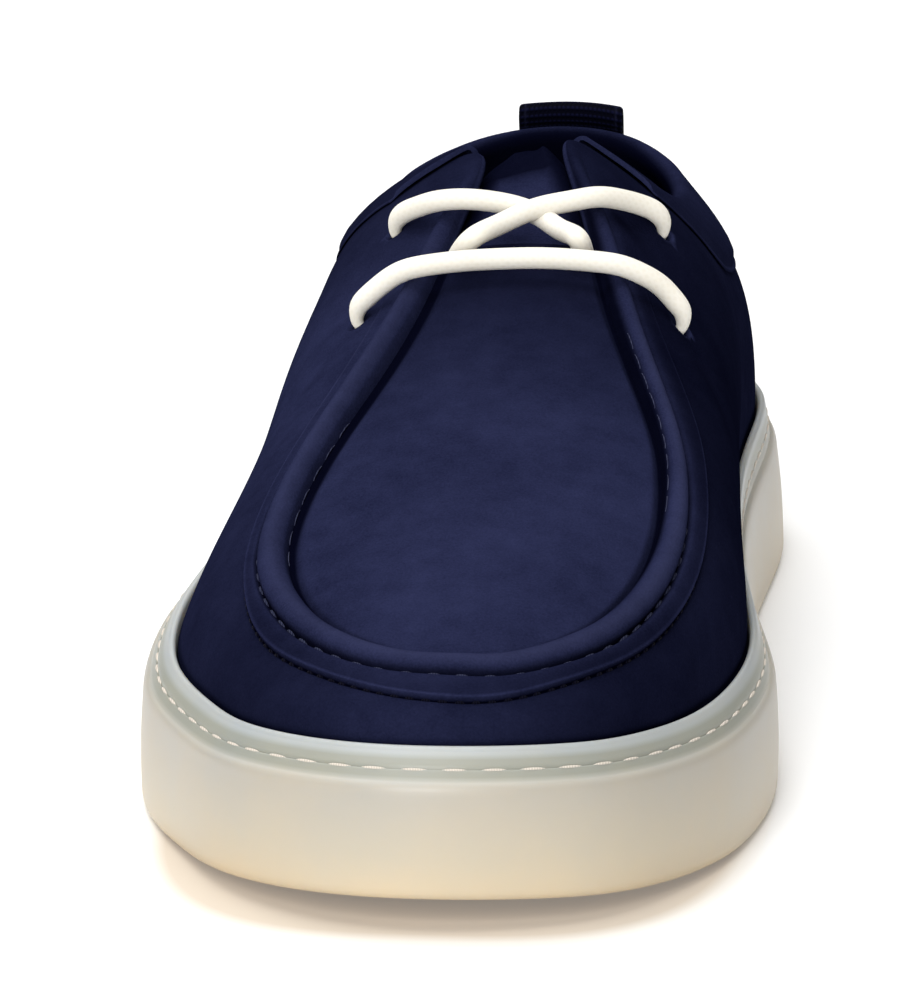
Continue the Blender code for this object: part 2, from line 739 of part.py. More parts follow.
def make_pull_loop(material):
    """A loop of webbing with straight edges, which stands behind the collar band at the back of the heel."""
    middle = np.stack([LOOP_LINE["distance"], LOOP_LINE["height"]], axis=1)
    along = np.gradient(middle, axis=0)
    along /= np.linalg.norm(along, axis=1, keepdims=True)
    square = along[:, ::-1] * (-1, 1) * LOOP_THICKNESS / 2
    wall = Wall(np.linspace(-0.06, 0.06, 61))
    places = np.linspace(-LOOP_HALF_WIDTH, LOOP_HALF_WIDTH, 5) + LOOP_CENTRE
    points = []
    for distance, height in (*(middle + square), *(middle - square)[::-1]):
        line = wall.at(distance, height)
        station, up = (np.interp(places, line[:, 0], line[:, k]) for k in (1, 2))
        sag = np.interp(distance, LOOP_SAG["distance"], LOOP_SAG["share"])
        points.append(np.stack([places, station, up[2] + (up - up[2]) * sag], axis=1))
    builder = Builder()
    builder.tube(np.array(points).transpose(1, 0, 2))
    return builder.make("heel_pull_loop", material)


def lace_rings(route):
    """A ring at each point of a route."""
    return round_rings(np.stack(list(route.values()), axis=1), LACE_RADIUS, 8)


def make_laces(material):
    """The straight bar with the two crossed strands above it, joined where they touch."""
    strands = []
    for name, route in (("laces", LACE_BAR), ("under_strand", LACE_UNDER), ("over_strand", LACE_OVER)):
        builder = Builder()
        builder.tube(lace_rings(route))
        strands.append(builder.make(name, material))
    laces = strands[0]
    for strand in strands[1:]:
        strand.hide_render = True
        strand.display_type = "WIRE"
        boolean = laces.modifiers.new("join", "BOOLEAN")
        boolean.operation = "UNION"
        boolean.solver = "EXACT"
        boolean.object = strand
    return laces


def material(name, colour, roughness):
    made = bpy.data.materials.new(name)
    made.use_nodes = True
    shader = made.node_tree.nodes["Principled BSDF"]
    shader.inputs["Base Color"].default_value = (*colour, 1)
    shader.inputs["Roughness"].default_value = roughness
    shader.inputs["Metallic"].default_value = 0
    made.diffuse_color = (*colour, 1)
    return made


def clear_scene():
    for old in list(bpy.data.objects):
        bpy.data.objects.remove(old)


def main():
    clear_scene()
    rubber = material("translucent_rubber", (0.62, 0.60, 0.50), 0.45)
    nubuck = material("navy_nubuck", (0.012, 0.015, 0.06), 0.85)
    webbing = material("navy_webbing", (0.004, 0.005, 0.02), 0.8)
    lining = material("lining", (0.02, 0.02, 0.035), 0.8)
    cream = material("cream_cord", (0.85, 0.82, 0.74), 0.8)
    make_outsole(rubber)
    make_insole(lining)
    make_upper(nubuck)
    make_tongue(nubuck)
    make_collar_band(nubuck)
    make_pull_loop(webbing)
    make_laces(cream)


main()
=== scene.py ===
"""The looks of the derby shoe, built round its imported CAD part.

Each piece is made again from the part's own tables, at a finer step, and replaces its CAD solid. Everything
is in millimetres in the shoemaker's directions: across (towards the inner side), station (from the back of
the heel to the toe) and height. A turn goes round the shoe: 0 at the back of the heel, along the inner side
to 0.5 at the tip of the toe, and back along the outer side to 1.
"""

import math

import bmesh
import bpy
import numpy as np
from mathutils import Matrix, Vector


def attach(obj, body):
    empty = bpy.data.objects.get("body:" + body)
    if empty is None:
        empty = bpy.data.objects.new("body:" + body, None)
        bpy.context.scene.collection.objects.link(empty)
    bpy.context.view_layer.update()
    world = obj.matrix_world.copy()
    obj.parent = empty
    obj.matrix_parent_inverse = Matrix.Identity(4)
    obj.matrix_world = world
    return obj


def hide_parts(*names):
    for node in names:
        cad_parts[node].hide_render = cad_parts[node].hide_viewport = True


MM = 0.001
UP = np.array([0.0, 0.0, 1.0])

# Driving sizes of the part, in millimetres.
HEEL_CENTRE = 50.0
GAP = 0.4
ARCH_START, ARCH_END, ARCH_RISE = 84.0, 178.0, 2.5
SPRING_START, SPRING_END, TOE_SPRING = 226.0, 302.0, 6.0
HEEL_BEVEL_END, HEEL_BEVEL = 14.0, 1.5
WALL = 2.0
WALL_FOOT = -1.0
APRON_WALL = 1.6
APRON_RADIUS = 78.0
LOOP_HALF_WIDTH, LOOP_CENTRE, LOOP_THICKNESS = 10.4, 0.8, 1.5
LACE_RADIUS = 2.0
EYELET_RADIUS = 2.45

# How far the apron's seam runs from the toe both ways, and the collar from the heel, in turns.
SEAM_END = 25 / 96
COLLAR_END = 18 / 96

# Steps round the finer pieces, and straight across them.
UPPER_COLUMNS, APRON_STRIPS = 576, 84
SOLE_COLUMNS, TREAD_STRIPS, RECESS_STRIPS = 720, 44, 12
INSOLE_COLUMNS, INSOLE_STRIPS, INSOLE_UNDER_STRIPS = 288, 40, 10


def table(names, rows):
    """Columns of numbers by name, from rows of numbers."""
    columns = np.array(rows, float).T
    return dict(zip(names.split(), columns))


# Sections from the back of the heel to the tip of the toe. The outline of the sole, how far its side leans
# in towards the top, and how far in from the outline the cup's recess starts, behind the stitched ledge:
OUTLINE = table("station inner outer lean ledge_inner ledge_outer", (
    (0, -0.8, -0.8, 1.6, 5, 5),
    (5, 20.6, -22, 1.6, 5, 4.8),
    (20, 39, -36.6, 1.6, 5.2, 4.6),
    (46, 46.2, -43.6, 1.6, 5.4, 4.4),
    (70, 45.8, -45.3, 1.4, 5.4, 4.2),
    (90, 44.7, -46.3, 1.2, 4.8, 4),
    (104, 44.3, -47.4, 1, 4.3, 4.1),
    (114, 44.3, -48.4, 0.9, 4, 4.3),
    (130, 44.8, -51.2, 0.8, 3.8, 4.8),
    (155, 46.8, -55.2, 0.6, 3.7, 5.6),
    (184, 51.1, -59.7, 0.4, 4.3, 6.2),
    (212, 54.3, -60.6, 0.3, 5.5, 6.1),
    (237, 52.6, -57.4, 0.3, 6.1, 6.6),
    (260, 47.3, -49.2, 0.3, 6.7, 7),
    (279, 38.7, -39.9, 0.3, 7.1, 7.2),
    (293, 27, -27.2, 0.3, 7.3, 7.3),
    (302, -2, -2, 0.3, 7.3, 7.3),
))

# The top edge of the upper's wall at the same sections: the collar from the heel to the throat's corner,
# then the facing's inner edge, then the apron seam round the toe.
TOP_EDGE = table("station inner outer inner_up outer_up", (
    (8.5, 0, 0, 75.4, 75.4),
    (12, 13.5, -14.5, 74.2, 74.2),
    (24, 22.3, -25.5, 71.4, 71.8),
    (44, 25.6, -29.6, 70.8, 71.6),
    (63, 24.4, -29, 74.4, 74.8),
    (81, 19.6, -23.6, 82.4, 82),
    (94, 12.2, -14.6, 91.2, 89.6),
    (103, 7.8, -9.2, 95.8, 92.6),
    (122, 11.8, -10.8, 89.6, 87.3),
    (148, 18.4, -15, 79.4, 78.6),
    (175, 25.5, -21.8, 69.2, 68),
    (202, 32.5, -30, 59.8, 57.4),
    (229, 33.4, -32.9, 51.2, 48.6),
    (250, 28.9, -27.6, 45.8, 44.4),
    (264, 21.8, -19.5, 43.2, 42.6),
    (272.5, 12.6, -9.3, 41.8, 41.6),
    (275, 3, 3, 41.5, 41.5),
))

# The form of the wall at the same sections: its outward lean at the sole on the inner and the outer side
# and its inward lean at the top edge, in degrees, how far each lean reaches as a share of the wall's chord,
# how strong the seam's roll and its flange are, and how far the edge is turned down to apron or tongue.
WALL_FORM = table("low_inner low_outer lean_top reach_low reach_top roll flange drop", (
    (6, 6, 16, 0.40, 0.30, 0, 0, 0.4),
    (5, 5, 22, 0.40, 0.32, 0, 0, 0.4),
    (2, 2, 36, 0.42, 0.34, 0, 0, 0.4),
    (0, 2, 50, 0.46, 0.36, 0, 0, 0.4),
    (2, 2, 58, 0.48, 0.38, 0, 0, 0.4),
    (5, 2, 62, 0.50, 0.42, 0, 0, 0.4),
    (8, 2, 63, 0.50, 0.44, 0, 0, 0.4),
    (9, 2, 62, 0.50, 0.46, 0, 0, 0.6),
    (10, 1, 60, 0.48, 0.46, 0.4, 0, 1.2),
    (10, -9, 60, 0.44, 0.46, 0.75, 0.3, 2),
    (2, -20, 62, 0.42, 0.44, 1, 0.9, 2),
    (-2, -19, 64, 0.40, 0.42, 1, 1, 1.6),
    (-4, -8, 66, 0.40, 0.40, 1, 1, 1.3),
    (0, 0, 67, 0.40, 0.38, 1, 1, 1.2),
    (2, 2, 68, 0.42, 0.38, 1, 1, 1.2),
    (4, 4, 68, 0.42, 0.38, 1, 1, 1.2),
    (4, 4, 68, 0.42, 0.38, 1, 1, 1.2),
))

# The seam's profile, by the distance from its crease: the roll, then the flange. The flange's edge lies at
# FLANGE_END in the profile, and moves out from there to the distance given for its turn.
ROLL_HEIGHT, ROLL_HALF_WIDTH = 2.8, 2.75
FLANGE_START, FLANGE_FLAT, FLANGE_END, FLANGE_HEIGHT = 5.7, 9.0, 9.8, 1.2
FLANGE_EDGE = table("turn distance", (
    (0.22, 9.8), (0.26, 11.4), (0.30, 14), (0.33, 11.8), (0.356, 10.4), (0.38, 9.8), (0.405, 9.6),
    (0.43, 9.7), (0.45, 10.5), (0.47, 12.2), (0.486, 14), (0.508, 14.9), (0.532, 12.9), (0.555, 11.2),
    (0.578, 10.5), (0.60, 9.6), (0.618, 8.4), (0.636, 8.1), (0.653, 8.5), (0.70, 9.8), (0.75, 9.8),
))

# Heights of the sole along the shoe: the outer edge of its ledge, the lip where the upper stands, the floor
# of the cup, and how much higher edge and lip are on the outer side.
SOLE_HEIGHTS = table("station edge lip floor rise", (
    (0, 25, 31, 19, 0),
    (50, 24.2, 30.2, 18, 0.3),
    (110, 23.8, 29.6, 16, 1.2),
    (170, 22.8, 28.2, 13.5, 2.3),
    (225, 21.8, 27, 12.5, 0.8),
    (265, 23, 28, 14, 0),
    (302, 26.6, 31.8, 18, 0),
))

# The middle of each eyelet on the upper: its turn, and its distance from the facing's edge.
INNER_LOW, INNER_TOP = (0.2450, 19.7), (0.2076, 22.8)
OUTER_LOW, OUTER_TOP = (0.7476, 15.9), (0.7886, 17.2)
EYELETS = (INNER_LOW, INNER_TOP, OUTER_LOW, OUTER_TOP)

# The tongue from under the apron up to its free top: the station of the facings over it, how deep it sinks
# below their underside, how far on and up from there it lies, and how far it narrows.
TONGUE = table("station sink on up width", (
    (172, 0, 0, 0, 1), (160, 0, 0, 0, 1), (150, 0.2, 0, 0, 1), (140, 0.6, 0, 0, 1), (130, 1, 0, 0, 1),
    (120, 1.6, 0, 0, 1), (110, 2.2, 0, 0, 1), (105, 3, 0, 0, 1), (105, 3, 4.5, 1.4, 0.7),
    (105, 3, 9, 2.2, 0.56), (105, 3, 12, 1.6, 0.46),
))

# Distances from the facing's edge at which the tongue's rows are led under it, from its side inwards.
TONGUE_UNDER_FACING = (9.0, 4.5, 0.3)

# The collar band's depth down the outside of the collar, by the station of the collar's edge.
BAND_DEPTH = table("station depth", (
    (8, 16), (44, 16.5), (63, 18), (81, 20.5), (92, 20), (103, 16),
))

# The pull loop's middle line, which stands over the band at the back of the heel: distance down from the
# collar's edge and height above the upper's outside. Its top hangs over less than the collar's edge does.
LOOP_LINE = table("distance height", (
    (16, 4.8), (9, 4.8), (3.6, 4.9), (-0.2, 5.3), (-2.8, 5.2), (-4.2, 4.3), (-4.4, 3.1), (-3.5, 2.2),
    (-1.8, 2.1), (0.2, 2.6), (2.4, 2.9), (9, 2.9), (16, 2.9),
))
LOOP_SAG = table("distance share", ((-4.4, 0.8), (2.0, 1.0)))

# Routes of the laces' centre lines: the straight bar, and the two strands that cross above it and join it.
LACE_BAR = table("across station height", (
    (-27.3, 149.7, 70.4), (-27.9, 149.8, 71.3), (-28, 149.9, 72.4), (-27.6, 150, 73.7),
    (-26.5, 150.2, 75), (-23.8, 151, 77.6), (-19.4, 151.9, 80.8), (-14.7, 152, 82.1),
    (-9.4, 152, 82.9), (-1.2, 152, 83.6), (7.7, 152, 83.9), (16.6, 151.8, 83.4),
    (21, 151, 82.6), (25.3, 149.4, 80.5), (28.4, 147.8, 78.1), (31.3, 146.9, 74.7),
    (32.3, 146.7, 73.3), (32.6, 146.5, 72), (32.4, 146.3, 70.9), (31.8, 146.2, 70),
))
LACE_UNDER = table("across station height", (
    (-23.1, 119.7, 80.6), (-23.6, 120, 81.5), (-23.6, 120.3, 82.6), (-23.1, 120.8, 83.7),
    (-21.9, 121.7, 84.9), (-19.5, 123.6, 86.4), (-14.9, 127.2, 88.6), (-10, 129.2, 89.5),
    (-5.3, 130.3, 89.5), (-0.7, 131.3, 89), (4.3, 133.8, 87.9), (9.1, 139.4, 86.4),
    (12.6, 145, 86.2), (14.9, 150, 85.3),
))
LACE_OVER = table("across station height", (
    (26.3, 118.1, 81.3), (26.8, 118.3, 82.2), (26.9, 118.7, 83.3), (26.4, 119.3, 84.6),
    (25.3, 120, 85.8), (23.2, 121.3, 87.1), (19, 125, 89.1), (14.7, 129.2, 90.4),
    (10.4, 132, 90.2), (6.1, 134.4, 89.8), (1.8, 137.4, 88.9), (-2.4, 141.2, 87.5),
    (-6.3, 145.6, 86.3), (-8.9, 150, 85.2),
))

# Where the lace runs under a facing, from the turn at which it meets the facing's edge to an eyelet: the
# share of the way round, the distance from the edge, and the height. In LACE_RISE the distance is a share of
# the eyelet's own.
LACE_TURN_INNER, LACE_TURN_OUTER = 0.2445, 0.7535
LACE_HIDDEN = ((0.00, -1.8, -3.4), (0.12, 1.5, -5.9), (0.35, 5.5, -5.4), (0.62, 11.0, -4.7))
LACE_RISE = ((0.85, 0.82, -4.5), (0.97, 0.97, -3.6), (1.0, 1.0, -1.6))

# The height of the lace's hidden ends, below the top eyelets. Then how an eyelet squeezes the cord: by how
# much, how far along it, and how far its middle is pushed down the facing and in.
LACE_END_HEIGHT = -4.5
SQUEEZE, SQUEEZE_REACH, SQUEEZE_DOWN, SQUEEZE_IN = 1.0, 2.7, 0.6, -0.8


def mixed(one, other, share):
    return one + (other - one) * share


def smooth(value, low, high):
    """A smooth step from 0 at low to 1 at high."""
    share = np.clip((value - low) / (high - low), 0, 1)
    return share * share * (3 - 2 * share)


def bell(value, middle, width):
    """A smooth hump of height 1 at the middle, which dies away over the width."""
    return np.exp(-(((value - middle) / width) ** 2))


def unit(vectors):
    """The vectors at length 1."""
    return vectors / np.linalg.norm(vectors, axis=-1, keepdims=True)


def by_station(columns, name, points):
    """A column of a table at the stations of these points."""
    return np.interp(points[:, 1], columns["station"], columns[name])


def spline(knots, values, at, period=None):
    """A smooth cubic through the values at the knots, natural at its ends or closed over the period."""
    knots, values, at = (np.asarray(numbers, float) for numbers in (knots, values, at))
    if period:
        at = (at - knots[0]) % period + knots[0]
        knots, values = np.append(knots, knots[0] + period), np.append(values, values[0])
    step = np.diff(knots)
    slope = np.diff(values) / step
    system = np.eye(len(knots))
    right = np.zeros(len(knots))
    for i in range(1, len(knots) - 1):
        system[i, i - 1 : i + 2] = step[i - 1], 2 * (step[i - 1] + step[i]), step[i]
        right[i] = 6 * (slope[i] - slope[i - 1])
    if period:
        system[0, [0, 1, -2, -1]] = 2 * step[0], step[0], step[-1], 2 * step[-1]
        system[-1, 0], system[-1, -1] = 1, -1
        right[0] = 6 * (slope[0] - slope[-1])
    bend = np.linalg.solve(system, right)
    i = np.clip(np.searchsorted(knots, at, side="right") - 1, 0, len(knots) - 2)
    before, after = at - knots[i], knots[i + 1] - at
    cubic = (bend[i] * after**3 + bend[i + 1] * before**3) / (6 * step[i])
    start = values[i] / step[i] - bend[i] * step[i] / 6
    end = values[i + 1] / step[i] - bend[i + 1] * step[i] / 6
    return cubic + start * after + end * before


def section_turns():
    """The turn of each section on the inner side, from the mean length of the outline on both sides."""
    step = np.diff(OUTLINE["station"])
    inner = np.hypot(step, np.diff(OUTLINE["inner"]))
    outer = np.hypot(step, np.diff(OUTLINE["outer"]))
    length = np.append(0.0, np.cumsum((inner + outer) / 2))
    return 0.5 * length / length[-1]


def around(inner, outer, turn):
    """A column of the tables at any turn: down the inner side to the toe, and back along the outer side."""
    turns = section_turns()
    knots = np.append(turns, 1 - turns[-2:0:-1])
    values = np.append(inner, np.asarray(outer)[-2:0:-1])
    return spline(knots, values, turn, period=1.0)


def outline(turn):
    """Points of the sole's outline at these turns, at height 0."""
    across = around(OUTLINE["inner"], OUTLINE["outer"], turn)
    station = around(OUTLINE["station"], OUTLINE["station"], turn)
    return np.stack([across, station, np.zeros_like(across)], axis=-1)


def outline_inset(turn, inset, lean=0.0, ledge=0.0):
    """The outline moved inwards, square to itself: by a plain inset, and by shares of the side's lean and
    of the ledge's width."""
    inset = inset + lean * around(OUTLINE["lean"], OUTLINE["lean"], turn)
    inset = inset + ledge * around(OUTLINE["ledge_inner"], OUTLINE["ledge_outer"], turn)
    step = 0.002
    inwards = np.cross(UP, unit(outline(turn + step) - outline(turn - step)))
    return outline(turn) + inwards * inset[..., None]


def bottom_height(station):
    """Height of the sole's underside: bevelled heel, flat heel, arch, flat forefoot and toe spring."""
    bevel = np.clip((HEEL_BEVEL_END - station) / HEEL_BEVEL_END, 0, 1)
    arch = np.clip((station - ARCH_START) / (ARCH_END - ARCH_START), 0, 1)
    spring = np.clip((station - SPRING_START) / (SPRING_END - SPRING_START), 0, None)
    return HEEL_BEVEL * bevel**2 + ARCH_RISE * np.sin(np.pi * arch) ** 2 + TOE_SPRING * spring**2


def cup_height(name, turn):
    """Height of the cup's edge, lip or floor at these turns."""
    station = outline(turn)[..., 1]
    height = spline(SOLE_HEIGHTS["station"], SOLE_HEIGHTS[name], station)
    if name == "floor":
        return height
    rise = spline(SOLE_HEIGHTS["station"], SOLE_HEIGHTS["rise"], station)
    return height + np.where(turn % 1 > 0.5, rise, 0.0)


def sole_ring(turn, inset, lean, ledge, name, above):
    """A ring of points on the sole, at an inset from its outline and above a named height."""
    ring = outline_inset(turn, inset, lean, ledge)
    height = bottom_height(ring[..., 1]) if name == "bottom" else cup_height(name, turn)
    ring[..., 2] = height + above
    return ring


def cup_ring(turn, inset, name, above):
    """A ring inside the cup's recess, with a gap to it and a further inset."""
    return sole_ring(turn, GAP + inset, 0.0, 1.0, name, above)


def flange_shift(distance, turn):
    """How far a point of the seam's profile moves out, for the flange to end at its edge."""
    edge = spline(*FLANGE_EDGE.values(), np.clip(turn, FLANGE_EDGE["turn"][0], FLANGE_EDGE["turn"][-1]))
    return (edge - FLANGE_END) * np.clip((distance - FLANGE_START) / (FLANGE_FLAT - FLANGE_START), 0, 1)


class Wall:
    """The upper's outer surface, between the sole's lip and the top edge, at a set of turns.

    Points on it are named by their distance down from the top edge and their height above the surface."""

    STEPS = 240
    NORMAL_STEP = 0.0015

    def __init__(self, turn):
        self.turn = np.asarray(turn, float)
        self.curves = self.surface(self.turn)
        along = self.surface(self.turn + self.NORMAL_STEP) - self.surface(self.turn - self.NORMAL_STEP)
        self.normals = unit(-np.cross(along, np.gradient(self.curves, axis=0)))
        steps = np.linalg.norm(np.diff(self.curves, axis=0), axis=-1)
        self.lengths = np.vstack([np.zeros(len(self.turn)), np.cumsum(steps, axis=0)])
        self.drop = self.form("drop", self.turn)
        self.roll, self.flange = (np.clip(self.form(name, self.turn), 0, 1) for name in ("roll", "flange"))

    @staticmethod
    def form(name, turn, outer=None):
        return around(WALL_FORM[name], WALL_FORM[outer or name], turn)

    @classmethod
    def surface(cls, turn):
        """One curve for each turn, as rows of points from the top edge down to the lip."""
        foot = cup_ring(turn, 0.0, "lip", WALL_FOOT)
        columns = (("inner", "outer"), ("station", "station"), ("inner_up", "outer_up"))
        top = np.stack([around(TOP_EDGE[inner], TOP_EDGE[outer], turn) for inner, outer in columns], axis=-1)
        chord = top - foot
        length = np.linalg.norm(chord, axis=-1, keepdims=True)
        inwards = unit(chord * (1, 1, 0))
        low = np.radians(cls.form("low_inner", turn, "low_outer"))[:, None]
        high = np.radians(cls.form("lean_top", turn))[:, None]
        reach_low, reach_top = (cls.form(name, turn)[:, None] for name in ("reach_low", "reach_top"))
        low_handle = foot + length * reach_low * (UP * np.cos(low) - inwards * np.sin(low))
        top_handle = top - length * reach_top * (UP * np.cos(high) + inwards * np.sin(high))
        share = np.linspace(0, 1, cls.STEPS + 1)[:, None, None]
        back = 1 - share
        return (
            back**3 * top
            + 3 * back**2 * share * top_handle
            + 3 * back * share**2 * low_handle
            + share**3 * foot
        )

    def at(self, distance, height):
        """Points at a distance from the top edge, and a height above the surface. Beyond the top edge the
        surface runs straight on."""
        distance = np.broadcast_to(np.asarray(distance, float), self.turn.shape)
        height = np.broadcast_to(np.asarray(height, float), self.turn.shape)
        column = np.arange(len(self.turn))
        knot = np.clip((self.lengths < distance).sum(axis=0), 1, self.STEPS)
        low, high = self.lengths[knot - 1, column], self.lengths[knot, column]
        share = ((distance - low) / (high - low))[:, None]
        base = mixed(self.curves[knot - 1, column], self.curves[knot, column], share)
        normal = mixed(self.normals[knot - 1, column], self.normals[knot, column], np.clip(share, 0, 1))
        return base + unit(normal) * height[:, None]


class Shape:
    """Gathers rows of points in millimetres and the faces between them, and makes a piece.

    Each point has a tone, which its material reads, and each face may have a weave: flat coordinates, in
    millimetres along and across it."""

    def __init__(self):
        self.points, self.tones, self.count = [], [], 0
        self.faces, self.kinds, self.weaves = [], [], []

    def row(self, points, tone=0.0):
        """Adds points, and returns their numbers."""
        points = np.asarray(points, float)
        self.points.append(points)
        self.tones.append(np.broadcast_to(np.asarray(tone, float), (len(points),)))
        self.count += len(points)
        return np.arange(self.count - len(points), self.count)

    def face(self, numbers, kind=0):
        self.faces.append([int(number) for number in numbers])
        self.kinds.append(kind)
        self.weaves.append(np.zeros((len(numbers), 2)))

    def fan(self, tip, row, kind=0):
        for pair in zip(row, row[1:]):
            self.face((tip, *pair), kind)

    def strip(self, one, other, closed=False, kind=0, weave=None):
        """Faces between two rows of the same length. The weave gives the place of both rows' points:
        the coordinates along the rows, which has one more for a closed row, and that of each row."""
        if closed:
            one, other = np.append(one, one[0]), np.append(other, other[0])
        self.faces += np.stack([one[:-1], one[1:], other[1:], other[:-1]], axis=1).tolist()
        self.kinds += [kind] * (len(one) - 1)
        along, low, high = weave or (np.zeros(len(one)), 0.0, 0.0)
        left, right = along[:-1], along[1:]
        low, high = np.full(len(left), low), np.full(len(left), high)
        corners = np.stack([left, low, right, low, right, high, left, high], axis=1)
        self.weaves.append(corners.reshape(-1, 2))

    def strips(self, rows, closed=False, kind=0):
        for one, other in zip(rows, rows[1:]):
            self.strip(one, other, closed, kind)

    def tube(self, rings, girth=0.0, tones=None):
        """A closed solid from rings of points, with both ends capped. A girth gives it a weave."""
        tones = np.zeros(len(rings)) if tones is None else tones
        rows = [self.row(ring, tone) for ring, tone in zip(rings, tones)]
        around_ring = np.linspace(0, girth, len(rows[0]) + 1)
        lengths = path_lengths(np.array([ring.mean(axis=0) for ring in rings]))
        for one, other, low, high in zip(rows, rows[1:], lengths, lengths[1:]):
            self.strip(one, other, closed=True, weave=(around_ring, low, high) if girth else None)
        self.face(rows[0])
        self.face(rows[-1])

    def make(self, name, materials, sharp=60):
        mesh = bpy.data.meshes.new(name)
        place = np.vstack(self.points) * (1, -1, 1) + (0, HEEL_CENTRE, 0)
        mesh.from_pydata((place * MM).tolist(), [], self.faces)
        mesh.polygons.foreach_set("material_index", self.kinds)
        tone = mesh.attributes.new("tone", "FLOAT", "POINT")
        tone.data.foreach_set("value", np.concatenate(self.tones).astype(np.float32))
        weave = mesh.uv_layers.new(name="weave")
        weave.uv.foreach_set("vector", (np.vstack(self.weaves) * MM).astype(np.float32).ravel())
        work = bmesh.new()
        work.from_mesh(mesh)
        bmesh.ops.recalc_face_normals(work, faces=work.faces)
        work.to_mesh(mesh)
        work.free()
        mesh.shade_smooth()
        mesh.set_sharp_from_angle(angle=math.radians(sharp))
        for made in materials:
            mesh.materials.append(made)
        return placed(bpy.data.objects.new(name, mesh))


def placed(item):
    """Links an object to the scene, and returns it."""
    bpy.context.scene.collection.objects.link(item)
    return item


def ring_turns(columns):
    return np.arange(columns) / columns


def eased_shares(strips):
    """Shares of the points inside a row, which lie closer together towards both its ends."""
    return (1 - np.cos(np.pi * np.linspace(0, 1, strips + 1)[1:-1, None])) / 2


def round_rings(centres, radius, sides):
    """Round rings square to a line of centres, without twist between them."""
    along = unit(np.gradient(centres, axis=0))
    radius = np.broadcast_to(np.asarray(radius, float), (len(centres),))
    side = np.cross(along[0], UP if abs(along[0, 2]) < 0.9 else (0.0, 1.0, 0.0))
    angles = 2 * np.pi * np.arange(sides)[:, None] / sides
    rings = []
    for centre, direction, reach in zip(centres, along, radius):
        side = unit(side - direction * (side @ direction))
        other = np.cross(direction, side)
        rings.append(centre + reach * (np.cos(angles) * side + np.sin(angles) * other))
    return rings


def path_lengths(points):
    return np.append(0.0, np.cumsum(np.linalg.norm(np.diff(points, axis=0), axis=1)))


def resampled(points, step):
    """A smooth line through points, at an even step."""
    lengths = path_lengths(points)
    at = np.linspace(0, lengths[-1], max(round(lengths[-1] / step), 2) + 1)
    return np.stack([spline(lengths, column, at) for column in points.T], axis=1)


def stitch_row(lines, name, material, seed, pitch, length, radius, lift):
    """A row of thread dashes along a line on a surface, given with the directions square to it. Each dash
    stands up in its middle and dips into the surface at both ends."""
    random = np.random.default_rng(seed)
    line, square = lines
    lengths = path_lengths(line)
    count = int(lengths[-1] / pitch)
    pitch = lengths[-1] / count
    shape = Shape()
    for number in range(count):
        middle = (number + 0.5) * pitch + random.uniform(-0.05, 0.05) * pitch
        half = length / 2 * random.uniform(0.92, 1.06)
        share = np.linspace(-1, 1, 9)
        at = middle + share * half
        centres, out = (
            np.stack([np.interp(at, lengths, column) for column in values.T], axis=1)
            for values in (line, square)
        )
        centres += unit(out) * (lift + radius * 0.4 - (lift + radius * 1.6) * np.abs(share[:, None]) ** 3)
        shape.tube(round_rings(centres, radius * (1 - 0.25 * share**2), 8))
    piece = shape.make(name, [material])
    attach(piece, "root")
    return piece


# --- Materials ---


